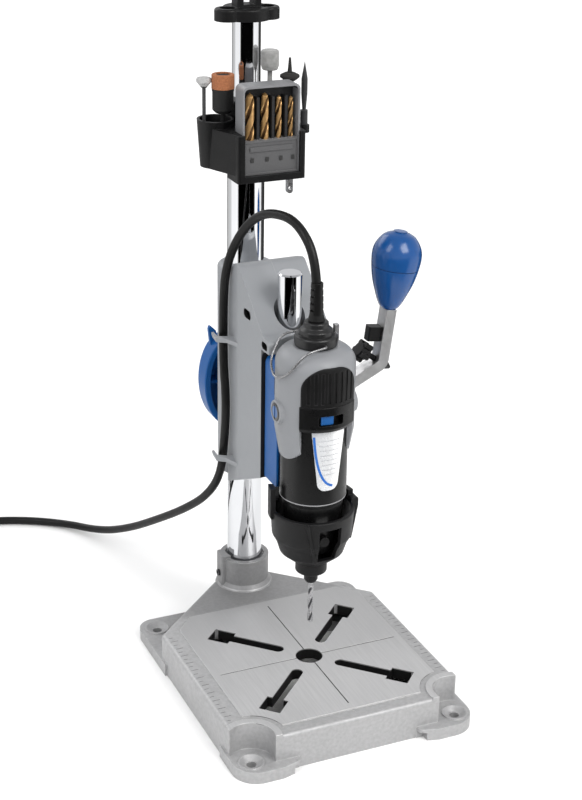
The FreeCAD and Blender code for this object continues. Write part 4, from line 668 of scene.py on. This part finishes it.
# --- power cord -----------------------------------------------------------------------------
LOOP_ROUTE = [
    (0.0, behind(0), 0.285),
    (0.0, behind(0), 0.3135),
    (-0.0045, behind(20), 0.334),
    (-0.0095, behind(47.5), 0.3335),
    (-0.0145, behind(68), 0.325),
    (-0.0206, behind(83), 0.307),
    (-0.0257, behind(91), 0.284),
    (-0.0250, behind(97), 0.257),
    (-0.0250, behind(97), 0.235),
]
LEAD_ROUTE = [
    (-0.0250, behind(97), 0.2349),
    (-0.0250, behind(97), 0.214),
    (-0.0256, behind(90), 0.187),
    (-0.0246, behind(96.5), 0.153),
    (-0.0246, behind(104), 0.124),
    (-0.0284, behind(122), 0.100),
    (-0.0354, behind(151), 0.077),
    (-0.0435, behind(189), 0.052),
    (-0.0530, behind(229), 0.027),
    (-0.0650, behind(268), 0.008),
    (-0.0870, behind(302), 0.0034),
    (-0.1220, behind(323), 0.0032),
    (-0.1580, behind(332), 0.0032),
    (-0.1930, behind(333), 0.0032),
]
COIL_CENTRE = Vector((-0.195, behind(294), 0))
PLUG_END = Vector((-0.2375, behind(284), 0.0087))
PLUG_WAY = Vector((math.cos(math.radians(-99.8)), math.sin(math.radians(-99.8)), 0))


def coil_points():
    """The put-away turns: three side by side on the bench, then just over two on top of them."""
    tracks = [(0.0390, 0.0032), (0.0332, 0.0033), (0.0276, 0.0034), (0.0304, 0.0088), (0.0362, 0.0091),
              (0.0408, 0.0092)]
    per_turn = 16
    start_angle = math.radians(87.0)
    turns = 5.25
    points = []
    for step in range(2, int(turns * per_turn) + 1):
        along = step / per_turn
        lower = min(int(along), len(tracks) - 1)
        upper = min(lower + 1, len(tracks) - 1)
        share = along - int(along)
        share = max(0.0, (share - 0.62) / 0.38)
        share = share * share * (3 - 2 * share)
        reach = tracks[lower][0] * (1 - share) + tracks[upper][0] * share
        height = tracks[lower][1] * (1 - share) + tracks[upper][1] * share
        angle = start_angle + 2 * math.pi * along
        points.append(COIL_CENTRE + Vector((reach * math.cos(angle), reach * math.sin(angle), height)))
    return points


def make_cords(sheath):
    loop_line = smooth_line("loop_guide", LOOP_ROUTE)
    loop = tube_along("power_cord_loop", loop_line, CORD_R, sheath)
    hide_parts("cord_loop")
    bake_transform(loop)
    tail = [PLUG_END - PLUG_WAY * 0.006, PLUG_END + PLUG_WAY * 0.006, PLUG_END + PLUG_WAY * 0.013]
    lead_line = smooth_line("lead_guide", LEAD_ROUTE + [tuple(p) for p in coil_points() + tail])
    lead = tube_along("power_cord_lead", lead_line, CORD_R, sheath, 16)
    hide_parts("cord_lead", "cord_coil")
    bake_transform(lead)
    print("cord lengths", round(measured(loop_line), 3), round(measured(lead_line), 3))


def measured(line):
    return sum((b - a).length for a, b in zip(line, line[1:]))


# --- printed and fluted details -------------------------------------------------------------
def flat_marks(name, quads, material, body, smooth_angle=30.0):
    """Thin raised marks; each quad is four corners plus the way it is raised."""
    vertices, faces = [], []
    for corners, way in quads:
        base = len(vertices)
        vertices += [Vector(c) for c in corners] + [Vector(c) + Vector(way) for c in corners]
        faces += [(base, base + 3, base + 2, base + 1), (base + 4, base + 5, base + 6, base + 7)]
        faces += [(base + k, base + (k + 1) % 4, base + 4 + (k + 1) % 4, base + 4 + k) for k in range(4)]
    piece = new_piece(name, mesh_from(name, vertices, faces), material, smooth_angle)
    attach(piece, body)
    return piece


def bar(x_min, x_max, y_min, y_max, z):
    return [(x_min, y_min, z), (x_max, y_min, z), (x_max, y_max, z), (x_min, y_max, z)]


def table_scales(material):
    """Ruler marks on both long rims of the table."""
    raise_by = (0, 0, 0.00006)
    half_width = 0.0002
    quads = []
    for k in range(SCALE_MARKS):
        y = SCALE_FIRST + k * SCALE_STEP
        reach = 0.0052 if k % 2 else 0.0030
        for x_min, x_max in ((SCALE_LEFT, SCALE_LEFT + reach), (SCALE_RIGHT - reach, SCALE_RIGHT)):
            quads.append((bar(x_min, x_max, y - half_width, y + half_width, TABLE_RIM_TOP), raise_by))
    flat_marks("table_scale_marks", quads, material, "base")


def on_label(angle_degrees, z):
    """Point of the label's face at this angle from the front and this height."""
    angle = math.radians(angle_degrees - 90)
    return Vector((LABEL_REACH * math.cos(angle), WORK_Y + LABEL_REACH * math.sin(angle), z))


def label_print(blue, grey):
    """Generic print: one blue bow and rows of fine grey dashes."""
    lift = 0.00004
    arc = math.radians(1) * LABEL_REACH

    def strip(points, half_width):
        quads = []
        for (a0, z0), (a1, z1) in zip(points, points[1:]):
            run = Vector(((a1 - a0) * arc, z1 - z0)).normalized()
            side = Vector((-run.y / arc, run.x)) * half_width
            corners = []
            for (a, z), sign in (((a0, z0), 1), ((a1, z1), 1), ((a1, z1), -1), ((a0, z0), -1)):
                corners.append(on_label(a + sign * side.x, z + sign * side.y))
            middle = math.radians((a0 + a1) / 2 - 90)
            quads.append((corners, Vector((math.cos(middle), math.sin(middle), 0)) * lift))
        return quads

    bow = []
    for step in range(25):
        t = step / 24
        keep = 1 - t
        bow.append((-24.5 * keep * keep - 38 * keep * t + 9 * t * t,
                    0.2035 * keep * keep + 0.3405 * keep * t + 0.1682 * t * t))
    flat_marks("label_bow", strip(bow, 0.0008), blue, "carriage")
    quads = []
    for row in range(8):
        z = 0.1765 + row * 0.0034
        angle = -9 - row * 1.1
        last = 17 + row * 1.4
        mark = 0
        while angle + 2.4 < last:
            width = 2.1 if (mark + row) % 3 else 1.2
            quads += strip([(angle, z), (angle + width, z)], 0.00022)
            angle += width + 0.8
            mark += 1
    flat_marks("label_small_print", quads, grey, "carriage")


def index_marks(embossed, print_dark):
    """A plain raised bar and four size marks under the drill bay."""
    def upright(x_min, x_max, z_min, z_max):
        corners = ((x_min, z_min), (x_max, z_min), (x_max, z_max), (x_min, z_max))
        return [(x, INDEX_FRONT, z) for x, z in corners]

    rows = [(upright(-0.0150, 0.0150, 0.3662, 0.3694), (0, -0.0003, 0))]
    flat_marks("index_bar", rows, embossed, "index")
    marks = [(upright(x - 0.0011, x + 0.0011, 0.3592, 0.3622), (0, -0.00006, 0))
             for x, _, _ in INDEX_DRILLS]
    flat_marks("index_size_marks", marks, print_dark, "index")


def drills(gold, bright):
    """The index's four coated drills, points up, and the bit in the collet."""
    # darker flute materials: painted shade in the flutes
    shaded_flute_gold = gold_coated("flute_shade_brown", (0.11, 0.055, 0.02))
    grey = steel("flute_shade_grey", (0.10, 0.10, 0.105), 0.35)
    for index, (x, radius, top) in enumerate(INDEX_DRILLS):
        length = top - INDEX_DRILL_FOOT
        piece = twist_drill(f"index_drill_{index + 1}", radius, radius, 0.0, length - 0.014, length, 0, 0,
                            (gold, shaded_flute_gold))
        piece.data.transform(Matrix.Translation((x, INDEX_DRILL_Y, top)) @ Matrix.Rotation(math.pi, 4, "X"))
        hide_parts("index_drills")
        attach(piece, "index")
    bit = twist_drill("fluted_drill_bit", 0.0019, 0.0016, 0.0545, 0.0845, 0.1075, 0, WORK_Y, (bright, grey))
    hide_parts("drill_bit")
    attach(bit, "spindle")


def dress(names, material):
    for name in names:
        node = NODES[name]
        node.data.materials.clear()
        node.data.materials.append(material)


def dress_all(sheath):
    """Give every piece its material, then lay on the marks and the fluted drills."""
    black = black_plastic("black_plastic")
    tool_black = black_plastic("tool_black", 0.30, 0.004, 3000)
    cup_black = black_plastic("cup_black", 0.46, 0.007, 1600)
    vent_black = black_plastic("vent_black", 0.5, 0.003, 1600)
    plate = chrome("chrome_plate")
    bright = steel("bright_steel")
    dark_steel = steel("blackened_steel", (0.09, 0.09, 0.095), 0.4)
    blue = moulded("blue_gloss", (0.004, 0.060, 0.22), 0.24, 900, 0.3, (0.10, 0.22, 0.5), 0.1)
    blue_matt = moulded("blue_moulded", (0.003, 0.080, 0.28), 0.38, 1600, 0.0, (0.10, 0.22, 0.5), 0.1)
    shell = shell_grey("grey_shell")
    tool_grey = moulded("tool_grey", (0.225, 0.232, 0.245), 0.38, 2000)
    case = case_plastic("case_grey")
    lever = steel("lever_cast", (0.50, 0.50, 0.505), 0.42, (1, 1, 1))
    base = cast_aluminium("base_cast")
    gold = gold_coated("drill_gold")
    bronze = gold_coated("bush_bronze")
    dark_grey = moulded("stone_grey", (0.028, 0.028, 0.03), 0.5, 1200)
    dress(["base_casting"], base)
    dress(["lever_hub", "lever_arm"], lever)
    dress(["lower_column", "upper_mast", "quill_rod"], plate)
    dress(["telescope_collar", "telescope_screw", "hanger_plate", "hanger_hook", "accessory_holder",
           "holder_screw", "lever_stop_block", "star_knob", "plug_body", "coil_tie"], black)
    dress(["motor_housing"], barrel_black("barrel_black"))
    dress(["switch_collar", "collet_nut"], tool_black)
    dress(["vent_cover"], vent_black)
    dress(["rear_cap"], capped_black("cap_and_clip"))
    dress(["brush_caps"], brush_cap("brush_cap_blue"))
    dress(["tool_holder"], cup_black)
    dress(["hanger_pin", "collet_wrench", "spindle", "collet", "pinion_shaft", "armature",
           "return_spring"], bright)
    dress(["hanging_bail"], steel("bail_wire", (0.34, 0.34, 0.345), 0.3))
    dress(["engraving_cutter"], dark_grey)
    dress(["polishing_point"], pointed_stone("pale_stone"))
    dress(["column_set_screw", "clamp_screw"], dark_steel)
    dress(["housing_screws", "shaft_lock_button"], vent_black)
    dress(["quill_bush", "shaft_bushes"], bronze)
    dress(["plug_blades"], gold)
    dress(["lever_knob"], blue)
    dress(["carriage", "clamp_knob", "speed_slider"], blue_matt)
    dress(["housing_left", "housing_right"], shell)
    dress(["rear_shell"], tool_grey)
    dress(["drill_index_case"], case)
    dress(["label_plate"], film("label_film"))
    dress(["strain_relief"], sheath)
    dress(["sanding_mandrel"], rubber("drum_rubber", 0.012, 0.6))
    dress(["sanding_band"], abrasive("copper_grit", (0.30, 0.11, 0.045)))
    dress(["cutoff_wheel"], abrasive("dark_grit", (0.016, 0.015, 0.014)))
    dress(["felt_bob"], felt("grey_felt", (0.25, 0.25, 0.245)))
    table_scales(ink("scale_ink", (0.10, 0.10, 0.10)))
    label_print(ink("print_blue", (0.01, 0.12, 0.45)), ink("print_grey", (0.30, 0.31, 0.33)))
    index_marks(case, ink("size_ink", (0.03, 0.03, 0.03)))
    drills(gold, bright)


def main():
    make_camera()
    sheath = rubber("cord_sheath")
    make_cords(sheath)
    make_studio()
    make_floor()
    settings = bpy.context.scene.view_settings
    settings.view_transform = "Standard"
    settings.look = "None"
    dress_all(sheath)


main()
